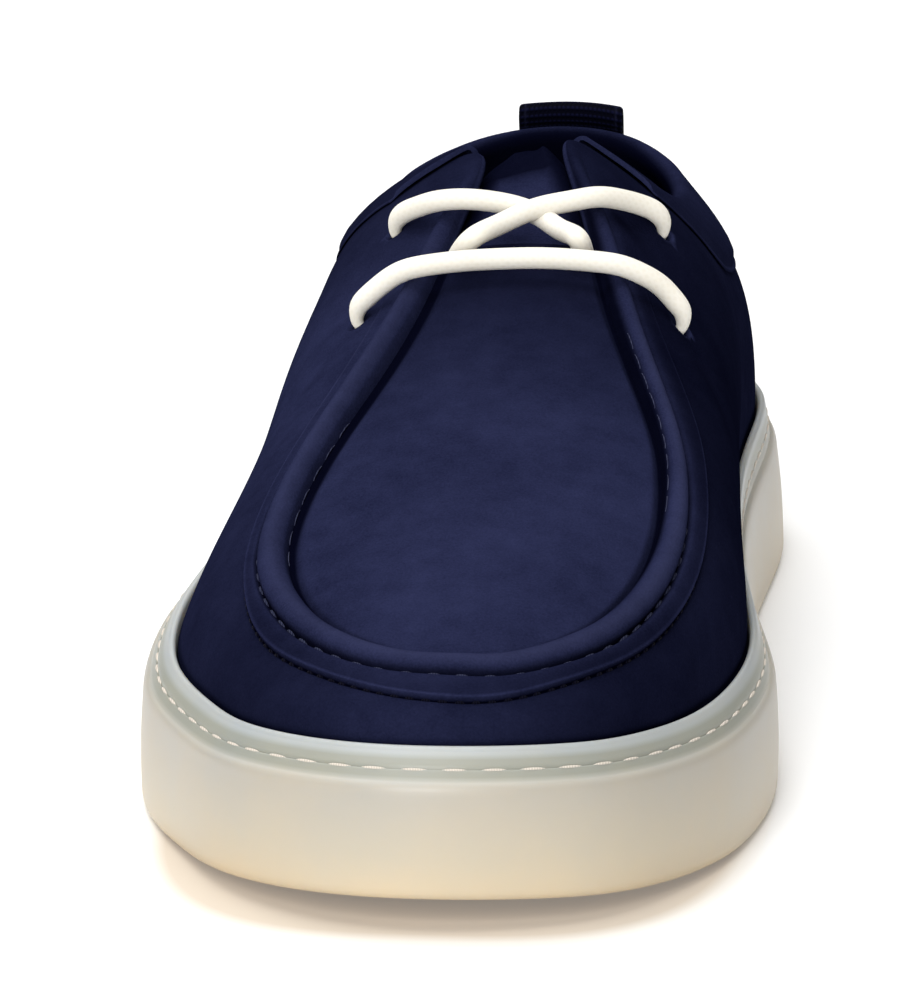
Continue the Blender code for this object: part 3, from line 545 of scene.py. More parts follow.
class Shader:
    """A material built up from nodes."""

    def __init__(self, name, roughness, **settings):
        self.made = bpy.data.materials.new(name)
        self.made.use_nodes = True
        self.tree = self.made.node_tree
        self.main = self.tree.nodes["Principled BSDF"]
        self.put(roughness, "Roughness")
        for socket, value in settings.items():
            self.put(value, socket.replace("_", " "))

    def put(self, value, name, node=None):
        """Gives a socket of a node, or of the shader itself, another node's output or a constant."""
        socket = (node or self.main).inputs[name]
        if isinstance(value, bpy.types.NodeSocket):
            self.tree.links.new(value, socket)
        else:
            socket.default_value = value

    def node(self, kind, inputs=None, **settings):
        made = self.tree.nodes.new("ShaderNode" + kind)
        for name, value in settings.items():
            setattr(made, name, value)
        for name, value in (inputs or {}).items():
            self.put(value, name, made)
        return made

    def place(self):
        return self.node("TexCoord").outputs["Object"]

    def tone(self):
        return self.node("Attribute", attribute_name="tone").outputs["Fac"]

    def weave(self):
        """The weave's coordinates, across and along the piece."""
        coordinates = self.node("UVMap", uv_map="weave").outputs["UV"]
        return self.node("SeparateXYZ", {0: coordinates}).outputs[:2]

    def noise(self, scale, detail, roughness):
        """Noise with about `scale` features to the metre."""
        inputs = {"Vector": self.place(), "Scale": scale, "Detail": detail, "Roughness": roughness}
        return self.node("TexNoise", inputs).outputs["Fac"]

    def math(self, operation, *values, clamp=False):
        inputs = dict(enumerate(values))
        return self.node("Math", inputs, operation=operation, use_clamp=clamp).outputs[0]

    def waves(self, value, pitch):
        """Waves that repeat at a pitch in millimetres."""
        return self.math("SINE", self.math("MULTIPLY", value, 2 * math.pi / (pitch * MM)))

    def ramp(self, value, *stops):
        made = self.node("ValToRGB", {"Fac": value})
        ramp = made.color_ramp
        while len(ramp.elements) < len(stops):
            ramp.elements.new(0.5)
        for element, (position, colour) in zip(ramp.elements, stops):
            element.position = position
            element.color = (*colour, 1)
        return made.outputs["Color"]

    def mix(self, share, one, other, blend="MIX"):
        inputs = {0: share, 6: one, 7: other}
        return self.node("Mix", inputs, data_type="RGBA", blend_type=blend).outputs[2]

    def toned(self, colour, strength, other):
        """The colour, with another mixed in where the points' tone has the strength's sign."""
        share = self.math("MULTIPLY", self.tone(), strength, clamp=True)
        return self.mix(share, colour, (*other, 1))

    def tinted(self, colour, value, *tints):
        """The colour, multiplied by one of two tints or the shades between them."""
        return self.mix(1.0, colour, self.ramp(value, *zip((0.3, 0.7), tints)), "MULTIPLY")

    def rough(self, value, least, spread):
        self.put(self.math("MULTIPLY_ADD", value, spread, least), "Roughness")

    def finished(self, colour, height, strength, distance):
        """The material with its colour, and bumps by their height, strength and size in millimetres."""
        self.put(colour, "Base Color")
        bump = self.node("Bump", {"Height": height, "Strength": strength, "Distance": distance * MM})
        self.put(bump.outputs["Normal"], "Normal")
        return self.made


def nubuck_material():
    """Navy nubuck: brushed nap in soft patches, painted shade in the seams and painted highlights on the
    rolls.
    """
    shader = Shader("nubuck_material", 0.88, Specular_IOR_Level=0.0)
    patches = shader.noise(32.0, 3.0, 0.55)
    clouds = shader.noise(190.0, 3.0, 0.6)
    nap = shader.noise(2300.0, 2.0, 0.6)
    broad = shader.math("ADD", shader.math("MULTIPLY", patches, 0.38), shader.math("MULTIPLY", clouds, 0.3))
    brushed = shader.math("MULTIPLY_ADD", nap, 0.4, broad)
    colour = shader.ramp(brushed, (0.3, (0.007, 0.0085, 0.026)), (0.8, (0.024, 0.028, 0.074)))
    # Painted shade where the points' tone is positive: in gaps and creases, and on the sides the lamps leave
    # dark.
    colour = shader.toned(colour, 0.94, (0.0006, 0.0007, 0.004))
    # Lighter where the tone is negative: painted highlights on the roll's crest and the flange's edge, and a
    # lighter line along the collar band's hem.
    colour = shader.toned(colour, -0.55, (0.06, 0.066, 0.14))
    shader.rough(clouds, 0.78, 0.16)
    return shader.finished(colour, shader.math("MULTIPLY_ADD", clouds, 0.5, nap), 0.5, 0.25)


def rubber_material():
    """Translucent cup-sole rubber: warm cream low on the side, greyer and greener on the ledge, partly
    painted light.
    """
    shader = Shader(
        "rubber_material", 0.42, Subsurface_Weight=0.35, Subsurface_Radius=(1.0, 0.8, 0.55),
        Subsurface_Scale=0.004, Coat_Weight=0.06, Coat_Roughness=0.3,
    )
    # The colour by the rows' tone is partly the rubber's own and partly painted light: the bright cream low
    # on the side stands for floor light glowing through the rubber, and the lighter stops at the ledge's
    # outer edge (0.5) and on the lip (0.93 to 1.0) are painted highlights.
    colour = shader.ramp(
        shader.tone(),
        (0.0, (0.64, 0.535, 0.38)),
        (0.16, (0.56, 0.49, 0.375)),
        (0.44, (0.46, 0.425, 0.365)),
        (0.5, (0.49, 0.475, 0.42)),
        (0.58, (0.34, 0.34, 0.29)),
        (0.84, (0.33, 0.335, 0.29)),
        (0.93, (0.42, 0.44, 0.43)),
        (1.0, (0.44, 0.46, 0.46)),
    )
    clouds = shader.noise(45.0, 3.0, 0.6)
    colour = shader.tinted(colour, clouds, (0.93, 0.95, 0.97), (1.0, 0.985, 0.95))
    shader.rough(clouds, 0.34, 0.16)
    return shader.finished(colour, shader.noise(1500.0, 3.0, 0.6), 0.12, 0.12)


def cord_material():
    """Round braided cotton: strands that cross in a fine herringbone."""
    shader = Shader(
        "cord_material", 0.85, Sheen_Weight=0.15, Sheen_Roughness=0.5, Subsurface_Weight=0.12,
        Subsurface_Radius=(1.0, 0.9, 0.7), Subsurface_Scale=0.002,
    )
    strands_round, plait = 8, 1.9
    across, along = shader.weave()
    across = shader.math("MULTIPLY", across, strands_round / (LACE_RADIUS * MM))
    along = shader.math("MULTIPLY", along, 2 * math.pi / (plait * MM))
    ways = [shader.math("SINE", shader.math(way, along, across)) for way in ("ADD", "SUBTRACT")]
    fuzz = shader.noise(2600.0, 2.0, 0.6)
    height = shader.math("MULTIPLY_ADD", fuzz, 0.8, shader.math("MAXIMUM", *ways))
    colour = shader.ramp(height, (0.0, (0.90, 0.855, 0.755)), (1.0, (0.93, 0.89, 0.80)))
    colour = shader.tinted(colour, shader.noise(70.0, 2.0, 0.5), (0.94, 0.93, 0.90), (1, 1, 1))
    return shader.finished(colour, height, 0.1, 0.05)


def webbing_material():
    """Dark navy webbing, woven in fine crosswise ribs."""
    shader = Shader("webbing_material", 0.8, Specular_IOR_Level=0.03)
    across, along = shader.weave()
    ribs = shader.waves(along, 1.1)
    ends = shader.math("MULTIPLY", ribs, shader.waves(across, 0.9))
    height = shader.math("MULTIPLY_ADD", ends, 0.7, ribs)
    colour = shader.ramp(height, (0.0, (0.0006, 0.0007, 0.004)), (1.0, (0.0035, 0.004, 0.018)))
    return shader.finished(shader.toned(colour, -0.6, (0.02, 0.022, 0.055)), height, 0.5, 0.2)


def lining_material(name, dark, light):
    """Lining leather and footbed cover: fine pores with soft wear."""
    shader = Shader(name, 0.8, Sheen_Weight=0.03, Specular_IOR_Level=0.1)
    wear = shader.math("MULTIPLY", shader.noise(38.0, 4.0, 0.6), 0.75)
    pores = shader.node("TexVoronoi", {"Vector": shader.place(), "Scale": 1100.0}).outputs["Distance"]
    colour = shader.ramp(shader.math("MULTIPLY_ADD", pores, 0.35, wear), (0.25, dark), (0.75, light))
    # Painted shade where the points' tone is positive.
    return shader.finished(shader.toned(colour, 0.9, (0.002, 0.002, 0.004)), pores, 0.3, 0.15)


def thread_material(name, dark, light):
    """Twisted thread: strands that run slantwise along each stitch."""
    shader = Shader(name, 0.7, Sheen_Weight=0.02, Specular_IOR_Level=0.02)
    inputs = {"Vector": shader.place(), "Scale": 700.0, "Distortion": 1.5}
    twist = shader.node("TexWave", inputs).outputs["Fac"]
    return shader.finished(shader.ramp(twist, (0.1, dark), (0.8, light)), twist, 0.3, 0.1)


def floor_material():
    """A white floor, with a painted warm shadow close round the sole."""
    shader = Shader("floor_material", 0.9, Emission_Color=(1, 1, 1, 1), Emission_Strength=0.16)
    apart = shader.node("SeparateXYZ", {"Vector": shader.place()})
    powers = []
    for axis, middle, half in (("X", -0.002, 0.051), ("Y", -0.171, 0.081)):
        offset = shader.math("MULTIPLY", shader.math("SUBTRACT", apart.outputs[axis], middle), 1 / half)
        powers.append(shader.math("POWER", shader.math("ABSOLUTE", offset), 3.0))
    reach = shader.math("MULTIPLY", shader.math("ADD", *powers), 0.5)
    # Painted contact shadow: warm and darker near the sole, fading to plain white further out.
    tints = (0.5, (0.60, 0.51, 0.40)), (0.58, (0.78, 0.745, 0.69)), (0.7, (0.87, 0.87, 0.87))
    shader.put(shader.ramp(reach, *tints), "Base Color")
    return shader.made


# --- Outsole and insole ---

# Rows round the sole. Over the bottom's edge: inset from the outline and height over the bottom. Over the
# ledge's outer edge: inset, share of the side's lean, and height over the edge. Up the ledge: shares of its
# width. Over the lip: inset from the recess and height over the lip.
BOTTOM_ROWS = ((1.8, 0.0), (1.2, 0.1), (0.72, 0.36), (0.36, 0.8), (0.14, 1.3), (0.0, 2.0))
SHOULDER_ROWS = ((0.2, 0.95, -1.5), (0.36, 1.0, -0.95), (0.62, 1.0, -0.45), (0.95, 1.0, -0.13))
LEDGE_ROWS = (
    0.06, 0.14, 0.22, 0.30, 0.345, 0.375, 0.40, 0.42, 0.44, 0.465, 0.495, 0.55, 0.64, 0.74, 0.84, 0.93,
)
LIP_ROWS = ((-1.25, -0.22), (-0.9, -0.03), (-0.55, -0.03), (-0.2, -0.25), (0.0, -0.7))
SIDE_BELLY, LEDGE_SWELL = 0.3, 0.25
LEDGE_GROOVE, LEDGE_GROOVE_WIDTH, LEDGE_GROOVE_DEPTH = 0.42, 0.035, 0.5
TREAD_PITCH, TREAD_WAVE, TREAD_DEPTH = 8.0, 2.5, 1.3

# Rows up the edge of the footbed: inset, and height over the cup's floor. Its dips under the heel and the
# ball of the foot: station, length, width and depth.
INSOLE_INSET = WALL + 2 * GAP
INSOLE_ROWS = ((0.0, GAP), (-0.1, 1.6), (0.0, 3.2), (0.3, 4.0), (0.9, 4.5), (1.8, 4.6))
INSOLE_DIPS = ((38.0, 26.0, 17.0, 1.3), (215.0, 34.0, 30.0, 1.0))


def ledge_ring(turn, share, above=0.0):
    """A ring on the sloping ledge, from its outer edge at share 0 to the lip at share 1."""
    edge = sole_ring(turn, 1.3, 1.0, 0.0, "edge", above)
    lip = sole_ring(turn, -1.5, 0.0, 1.0, "lip", above - 0.6)
    return mixed(edge, lip, share)


def sole_rings(turn):
    """Rings of the sole's side from its bottom over the ledge to the cup's floor, each with its tone."""
    rings = []
    for inset, above in BOTTOM_ROWS:
        rings.append((sole_ring(turn, inset, 0.0, 0.0, "bottom", above), 0.01 * above))
    low = rings[-1][0]
    high = sole_ring(turn, 0.1, 0.9, 0.0, "edge", -2.2)
    outwards = outline_inset(turn, -1.0) - outline_inset(turn, 0.0)
    for share in np.linspace(0, 1, 13)[1:]:
        belly = SIDE_BELLY * np.sin(np.pi * share)
        rings.append((mixed(low, high, share) + outwards * belly, 0.02 + 0.40 * share))
    for inset, lean, above in SHOULDER_ROWS:
        rings.append((sole_ring(turn, inset, lean, 0.0, "edge", above), 0.47 + 0.03 * above))
    rings.append((ledge_ring(turn, 0.0), 0.5))
    for share in LEDGE_ROWS:
        groove = bell(share, LEDGE_GROOVE, LEDGE_GROOVE_WIDTH)
        above = LEDGE_SWELL * math.sin(math.pi * share) - LEDGE_GROOVE_DEPTH * groove
        rings.append((ledge_ring(turn, share, above), 0.5 + 0.5 * share - 0.02 * groove))
    rings.append((ledge_ring(turn, 1.0), 0.98))
    for inset, above in LIP_ROWS:
        rings.append((sole_ring(turn, inset, 0.0, 1.0, "lip", above), 1.0))
    lip = rings[-1][0]
    floor = sole_ring(turn, 0.0, 0.0, 1.0, "floor", 0.0)
    return rings + [(mixed(lip, floor, share), 0.9) for share in (0.25, 0.5, 0.75, 1.0)]


def bridge(shape, ring, points, strips, tone, relief=lambda points: 0.0):
    """Fills a ring with rows straight across the shoe. The relief is the height to add at their points, and
    fades out at the ring."""
    toe = len(points) // 2
    share = eased_shares(strips)
    last = None
    for i in range(1, toe):
        one, other = points[i], points[-i]
        inner = mixed(one, other, share)
        edge = np.minimum(share, 1 - share)[:, 0] * np.linalg.norm(other - one)
        along = min(np.linalg.norm(mixed(one, other, 0.5) - points[end]) for end in (0, toe))
        inner[:, 2] += relief(inner) * smooth(np.minimum(edge, along), 3.0, 7.0)
        row = np.r_[ring[i], shape.row(inner, tone), ring[-i]]
        if last is None:
            shape.fan(ring[0], row)
        else:
            shape.strip(last, row)
        last = row
    shape.fan(ring[toe], last)


def tread(points):
    """Depth of the tread: wavy cross grooves, left out over the arch."""
    station, across = points[:, 1], points[:, 0]
    wave = np.cos((station + TREAD_WAVE * np.sin(across / 7.0)) * 2 * np.pi / TREAD_PITCH)
    arch = smooth(station, 92, 98) * (1 - smooth(station, 164, 170))
    return TREAD_DEPTH * smooth(wave, 0.35, 0.8) * (1 - arch)


def make_outsole(material):
    """The rubber cup: grooved tread, side wall, ledge with its stitch groove, lip and recess."""
    shape = Shape()
    rings = sole_rings(ring_turns(SOLE_COLUMNS))
    rows = [shape.row(points, tone) for points, tone in rings]
    shape.strips(rows, closed=True)
    bridge(shape, rows[0], rings[0][0], TREAD_STRIPS, 0.03, tread)
    bridge(shape, rows[-1], rings[-1][0], RECESS_STRIPS, 0.9)
    piece = shape.make("rubber_outsole", [material], 40)
    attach(piece, "root")
    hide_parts("outsole")


def make_sole_stitches(material):
    """Thread laid in the ledge's groove, which stands a little out over the sole's side."""
    turn = np.linspace(0, 1, 2401)
    square = ledge_ring(turn, LEDGE_GROOVE, 1.0) - ledge_ring(turn, LEDGE_GROOVE, 0.0)
    square = square + 0.5 * (ledge_ring(turn, 0.0) - ledge_ring(turn, 1.0)) / 6.0
    line = ledge_ring(turn, LEDGE_GROOVE, -0.25), square
    piece = stitch_row(line, "sole_stitches", material, 3, pitch=6.9, length=5.4, radius=0.3, lift=0.06)


def footprint(points):
    """The dips that the foot has pressed into the footbed."""
    return -sum(
        depth * bell(points[:, 1], station, length) * bell(points[:, 0], 0.0, width)
        for station, length, width, depth in INSOLE_DIPS
    )


def make_insole(material):
    """A footbed that rises a little to its edge and dips under the heel and the ball of the foot."""
    shape = Shape()
    turn = ring_turns(INSOLE_COLUMNS)
    rings = [cup_ring(turn, INSOLE_INSET + inset, "floor", above) for inset, above in INSOLE_ROWS]
    rows = [shape.row(ring) for ring in rings]
    shape.strips(rows, closed=True)
    bridge(shape, rows[0], rings[0], INSOLE_UNDER_STRIPS, 0.0)
    bridge(shape, rows[-1], rings[-1], INSOLE_STRIPS, 0.0, footprint)
    piece = shape.make("footbed", [material])
    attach(piece, "root")
    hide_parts("insole")


# --- Upper ---

# Rows down the wall: distances from the crease over the seam, and how many follow from there to the foot.
# Then the rows down the inside, and those over the free edge: how far each stands out, and at which share of
# the edge's thickness.
SEAM_ROWS = (
    0.06, 0.2, 0.45, 0.8, 1.25, 1.8, 2.4, 3.0, 3.6, 4.2, 4.7, 5.05, 5.3, 5.45, 5.6, 5.75, 5.95, 6.2, 6.5, 7.0,
    7.7, 8.4, 9.0, 9.4, 9.62, 9.75, 9.85, 9.94, 10.04, 10.2, 10.5, 11.1, 12.0,
)
OUTSIDE_ROWS, INSIDE_ROWS = 32, 22
EDGE_ROWS = ((0.25, 0.25), (0.35, 0.5), (0.2, 0.78))

# Soft folds of the leather: where each starts and ends on the wall, as turn and distance from the top edge,
# its half width, and how far it stands out or sinks in. TURN_LENGTH is about the length of a whole turn.
FOLDS = table("turn distance end_turn end_distance width height", (
    (0.199, 4, 0.213, 24, 3, 0.7),
    (0.209, 2, 0.222, 20, 2.2, -0.7),
    (0.219, 2, 0.231, 16, 2.6, 0.6),
    (0.790, 3, 0.778, 22, 3, 0.5),
    (0.802, 3, 0.792, 24, 2.6, -0.6),
    (0.246, 16, 0.262, 44, 3.4, -0.6),
    (0.262, 14, 0.280, 42, 4.4, 0.5),
    (0.742, 14, 0.728, 40, 4, -0.5),
    (0.395, 14, 0.385, 30, 5, -0.5),
    (0.420, 13, 0.412, 28, 4, 0.4),
    (0.600, 13, 0.610, 28, 4.5, -0.4),
    (0.060, 22, 0.080, 44, 6, -0.5),
    (0.935, 22, 0.920, 44, 6, -0.5),
))
TURN_LENGTH = 690.0

# How far the apron's edge stands off the roll, by station.
APRON_GAP = table("station inner outer", (
    (140, 0.9, 2.6), (157, 0.7, 3), (170, 0.25, 3.2), (187, 0.25, 3.3), (198, 0.4, 3.2), (209, 0.65, 2.9),
    (221, 0.6, 2.4), (234, 0.4, 1.8), (246, 0.25, 0.8), (260, 0.15, 0.2),
))

# The apron's padding: its height, and how far in from the seam it has mostly risen. Then the ways in which
# the apron arches and its padding swells.
PILLOW, PILLOW_REACH = 1.3, 6.0
APRON_UP = np.array([0.0, 0.32, 0.95])
PILLOW_UP = np.array([0.0, 0.2, 0.98])

# Painted shade on the leather beyond the apron's seam, by station, on the inner and outer side: darker on the
# sides the lamps leave in shade.
SIDE_SHADE = table("station inner outer", (
    (20, 0.55, 0.55), (90, 0.62, 0.62), (118, 0.78, 0.42), (140, 0.84, 0), (165, 0.84, 0),
    (200, 0.78, 0.28), (240, 0.62, 0.48), (270, 0.76, 0.64), (300, 0.74, 0.62),
))


def fold_height(turn, distance):
    """Height of the soft folds at points on the wall."""
    total = np.zeros_like(turn)
    for start, first, end, last, width, height in zip(*FOLDS.values()):
        along = np.array([(end - start) * TURN_LENGTH, last - first])
        length = np.linalg.norm(along)
        along /= length
        x, y = (turn - start) * TURN_LENGTH, distance - first
        run = (x * along[0] + y * along[1]) / length
        off = x * along[1] - y * along[0]
        total += height * np.exp(-((off / width) ** 2)) * np.sin(np.pi * np.clip(run, 0, 1)) ** 1.5
    return total


def seam_height(distance, turn, roll, flange):
    """Height across the apron seam: the roll, the groove of its stitches, and the flange with its step."""
    reach = ROLL_HALF_WIDTH * (0.5 + 0.5 * roll)
    bow = np.clip(1 - ((distance - reach) / reach) ** 2, 0, 1)
    steep = np.interp(turn, (0.5, 0.6), (0.6, 0.85)) if distance < ROLL_HALF_WIDTH else 0.5
    plateau = smooth(distance, 5.55, 6.6) * (1 - smooth(distance, 9.66, 9.98))
    ditch = bell(distance, 5.6, 0.35) + 0.7 * bell(distance, 10.1, 0.22)
    return ROLL_HEIGHT * roll * bow**steep + flange * (FLANGE_HEIGHT * plateau - 0.3 * ditch)


def seam_shade_and_highlight(distance, turn, roll, flange):
    """Painted shade in the seam's gaps, its stitch groove and under the flange's step, and painted highlights
    on the roll's top and the flange's edge.
    """
    reach = np.interp(turn, (0.40, 0.5, 0.6), (0.6, 0.3, 0.2))
    gap = roll * (1 - 0.75 * smooth(turn, 0.54, 0.62)) * bell(distance, 0.0, reach)
    front = 0.2 + 0.8 * smooth(turn, 0.32, 0.38) * (1 - smooth(turn, 0.62, 0.68))
    groove = flange * 0.75 * front * bell(distance, 5.55, 0.4)
    step = flange * 0.9 * bell(distance, 10.02, 0.14)
    far_side = smooth(turn, 0.5, 0.62)
    crest_highlight = roll * (0.30 - 0.05 * far_side) * bell(distance, 3.0 - far_side, 1.7)
    edge = flange * 0.6 * bell(distance, 9.55, 0.2)
    return gap + groove + step - crest_highlight - edge


def apron_rows(one, other, shares):
    """Points between two points of the apron's seam, on an arc across the shoe."""
    crown = (np.linalg.norm(other - one) / 2) ** 2 / (2 * APRON_RADIUS)
    return mixed(one, other, shares) + APRON_UP * crown * 4 * shares * (1 - shares)


def apron_relief(points, seam):
    """Height of the apron's padding at points on it, and their tone: it stands up sharply beyond a gap along
    the roll, with painted shade in the gap and painted shade that deepens towards the throat."""
    plan = points[:, None, :2] - seam[None, :, :2]
    far = np.sqrt((plan**2).sum(axis=-1).min(axis=1))
    inner, outer = (by_station(APRON_GAP, name, points) for name in ("inner", "outer"))
    width = mixed(outer, inner, np.linspace(0, 1, len(points)))
    edge = smooth(far, 0.7 * width, width + 0.9)
    height = PILLOW * (0.78 * edge + 0.22 * (1 - np.exp(-far / PILLOW_REACH)))
    tone = np.maximum(1 - smooth(far, 0.65 * width, width + 0.35), 0.6 * bell(far, 0.0, 0.9))
    return height, np.maximum(tone, 0.66 * (1 - smooth(points[:, 1], 138.0, 212.0)))


def side_shade(points):
    """Painted shade at points outside the apron's seam: least at the middle of the toe."""
    inner, outer = (by_station(SIDE_SHADE, name, points) for name in ("inner", "outer"))
    tone = mixed(outer, inner, smooth(points[:, 0], -14.0, 14.0))
    return tone - 0.32 * smooth(points[:, 1], 255.0, 275.0) * bell(points[:, 0], 0.0, 20.0)


def outside_rows(shape, wall):
    """Rows from the upper's lower edge up its outside and over the seam to the crease at the top edge."""
    turn, roll, flange, length = wall.turn, wall.roll, wall.flange, wall.lengths[-1]
    # The two lowest rows, down in the sole's cup, carry painted shade in their tone.
    rows = [
        shape.row(cup_ring(turn, 0.0, "floor", GAP), 0.5),
        shape.row(cup_ring(turn, 0.0, "lip", WALL_FOOT), 0.6),
    ]
    start = SEAM_ROWS[-1] + flange_shift(SEAM_ROWS[-1], turn)
    for level in np.linspace(1, 0, OUTSIDE_ROWS + 2)[1:-1]:
        distance = mixed(start, length, level)
        row = wall.at(distance, fold_height(turn, distance))
        # Painted shade: a dark band just above the sole's lip, and the painted side shade.
        rows.append(shape.row(row, 0.3 * bell(length - distance, 0.6, 0.8) + side_shade(row)))
    for distance in reversed(SEAM_ROWS):
        height = seam_height(distance, turn, roll, flange) + fold_height(turn, np.full_like(turn, distance))
        height -= wall.drop * (1 - roll) * np.exp(-distance / 0.8)
        row = wall.at(distance + flange_shift(distance, turn), height)
        # Over the seam: painted shade and highlights, with the side shade fading in beyond the roll.
        beyond = mixed(1.0, smooth(distance, 4.0, 8.5), roll)
        rows.append(shape.row(row, seam_shade_and_highlight(distance, turn, roll, flange) + beyond * side_shade(row)))
    shade = 0.95 - 0.6 * smooth(turn, 0.54, 0.62)
    return [*rows, shape.row(wall.at(0.0, -wall.drop), shade * np.clip(roll * 1.5, 0, 1))]


def inside_rows(shape, wall):
    """Rows from the top edge's underside down the upper's inside to its lower edge."""
    depth = wall.drop + APRON_WALL
    rows = [shape.row(wall.at(0.3, -depth))]
    for level in np.linspace(0, 1, INSIDE_ROWS + 2)[1:-1]:
        thickness = WALL + (depth - WALL) * (1 - smooth(level, 0.0, 0.12))
        rows.append(shape.row(wall.at(wall.lengths[-1] * level, -thickness)))
    rows.append(shape.row(cup_ring(wall.turn, WALL, "lip", WALL_FOOT)))
    rows.append(shape.row(cup_ring(wall.turn, WALL, "floor", GAP)))
    return rows


def add_apron(shape, crease, rim):
    """The apron inside the seam's crease, and its underside. Returns their last rows, at the throat."""
    points = np.vstack(shape.points)
    toe = UPPER_COLUMNS // 2
    half = round(SEAM_END * UPPER_COLUMNS)
    seam = points[crease[toe - half : toe + half + 1]]
    shares = eased_shares(APRON_STRIPS)
    last_top = last_under = None
    for i in range(1, half + 1):
        outer, inner = toe + i, toe - i
        middle = apron_rows(points[crease[outer]], points[crease[inner]], shares)
        height, tone = apron_relief(middle, seam)
        top = np.r_[crease[outer], shape.row(middle + PILLOW_UP * height[:, None], tone), crease[inner]]
        middle = apron_rows(points[rim[outer]], points[rim[inner]], shares)
        under = np.r_[rim[outer], shape.row(middle), rim[inner]]
        if i == 1:
            shape.fan(crease[toe], top)
            shape.fan(rim[toe], under, 1)
        else:
            shape.strip(last_top, top)
            shape.strip(last_under, under, kind=1)
        last_top, last_under = top, under
    return last_top, last_under


def close_edge(shape, wall, crease, rim, top, under):
    """Rounds the free edge over from outside to inside: along collar and facings, and at the apron's end."""
    columns = round((0.5 + SEAM_END) * UPPER_COLUMNS), round((1.5 - SEAM_END) * UPPER_COLUMNS)
    free = np.arange(columns[0], columns[1] + 1) % UPPER_COLUMNS
    points = np.vstack(shape.points)
    outwards = (wall.at(-1.0, -wall.drop) - wall.at(0.0, -wall.drop))[free]
    edges, ends = [crease[free]], [top]
    for out, share in EDGE_ROWS:
        row = shape.row(mixed(points[crease[free]], points[rim[free]], share) + outwards * out)
        inner = mixed(points[top[1:-1]], points[under[1:-1]], share) + (0.0, out, 0.0)
        edges.append(row)
        ends.append(np.r_[row[0], shape.row(inner), row[-1]])
    shape.strips([*edges, rim[free]])
    shape.strips([*ends, under])


def make_upper(leather, lining):
    """Vamp, quarters, facings and apron as one hollow wall, with the rolled seam, the folds and the
    eyelets."""
    shape = Shape()
    wall = Wall(ring_turns(UPPER_COLUMNS))
    outside = outside_rows(shape, wall)
    inside = inside_rows(shape, wall)
    shape.strips(outside, closed=True)
    shape.strips(inside, closed=True, kind=1)
    shape.strip(outside[0], inside[-1], closed=True, kind=1)
    top, under = add_apron(shape, outside[-1], inside[0])
    close_edge(shape, wall, outside[-1], inside[0], top, under)
    piece = shape.make("nubuck_upper", [leather, lining], 75)
    cut_eyelets(piece)
    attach(piece, "root")
    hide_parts("upper")


def cut_eyelets(piece):
    """Cuts the four plain eyelets with pins square to the facings."""
    shape = Shape()
    for turn, distance in EYELETS:
        wall = Wall([turn])
        line = np.linspace(wall.at(distance, -7.0)[0], wall.at(distance, 7.0)[0], 3)
        # The pins' tone passes to the walls of the holes they cut: painted shade inside the eyelets.
        shape.tube(round_rings(line, EYELET_RADIUS, 28), tones=[0.8] * len(line))
    pins = shape.make("eyelet_pins", [])
    cut = piece.modifiers.new("eyelets", "BOOLEAN")
    cut.operation = "DIFFERENCE"
    cut.solver = "EXACT"
    cut.object = pins
    graph = bpy.context.evaluated_depsgraph_get()
    mesh = bpy.data.meshes.new_from_object(piece.evaluated_get(graph), depsgraph=graph)
    piece.modifiers.clear()
    piece.data = mesh
    bpy.data.objects.remove(pins)


def wall_line(start, end, count, distance, height):
    """A line on the wall between two turns, and the directions square to it. The height is a function of the
    wall."""
    wall = Wall(np.linspace(start, end, count))
    at = distance + flange_shift(distance, wall.turn)
    line = wall.at(at, height(wall))
    return line, wall.at(at, height(wall) + 1.0) - line


def seam_line(distance, above, start, end):
    """A line along the seam between two turns, above its surface."""
    return wall_line(
        start, end, 1200, distance,
        lambda wall: seam_height(distance, wall.turn, wall.roll, wall.flange) + above,
    )


def make_seam_stitches(thread, hole_shade):
    """Thread in the seam's groove and in the gap along the roll, and near-black dashes at the flange's edge:
    painted shade of its stitch holes.
    """
    line = seam_line(5.7, -0.05, 0.355, 0.645)
    piece = stitch_row(line, "seam_stitches", thread, 5, pitch=5.0, length=3.3, radius=0.34, lift=0.2)
    line = seam_line(0.35, 0.0, 0.28, 0.36)
    piece = stitch_row(line, "inner_seam_stitches", thread, 7, pitch=6.6, length=5.0, radius=0.11, lift=0.02)
    line = wall_line(0.62, 0.685, 400, -0.25, lambda wall: 0.3 - wall.drop)
    piece = stitch_row(line, "outer_seam_stitches", thread, 7, pitch=6.6, length=5.0, radius=0.11, lift=0.02)
    line = seam_line(10.06, 0.02, 0.33, 0.67)
    piece = stitch_row(line, "flange_stitches", hole_shade, 9, pitch=2.9, length=1.6, radius=0.28, lift=0.05)


# --- Tongue, collar band, pull loop ---

TONGUE_COLUMNS, TONGUE_ROWS = 71, 121
TONGUE_THICKNESS = 2.0

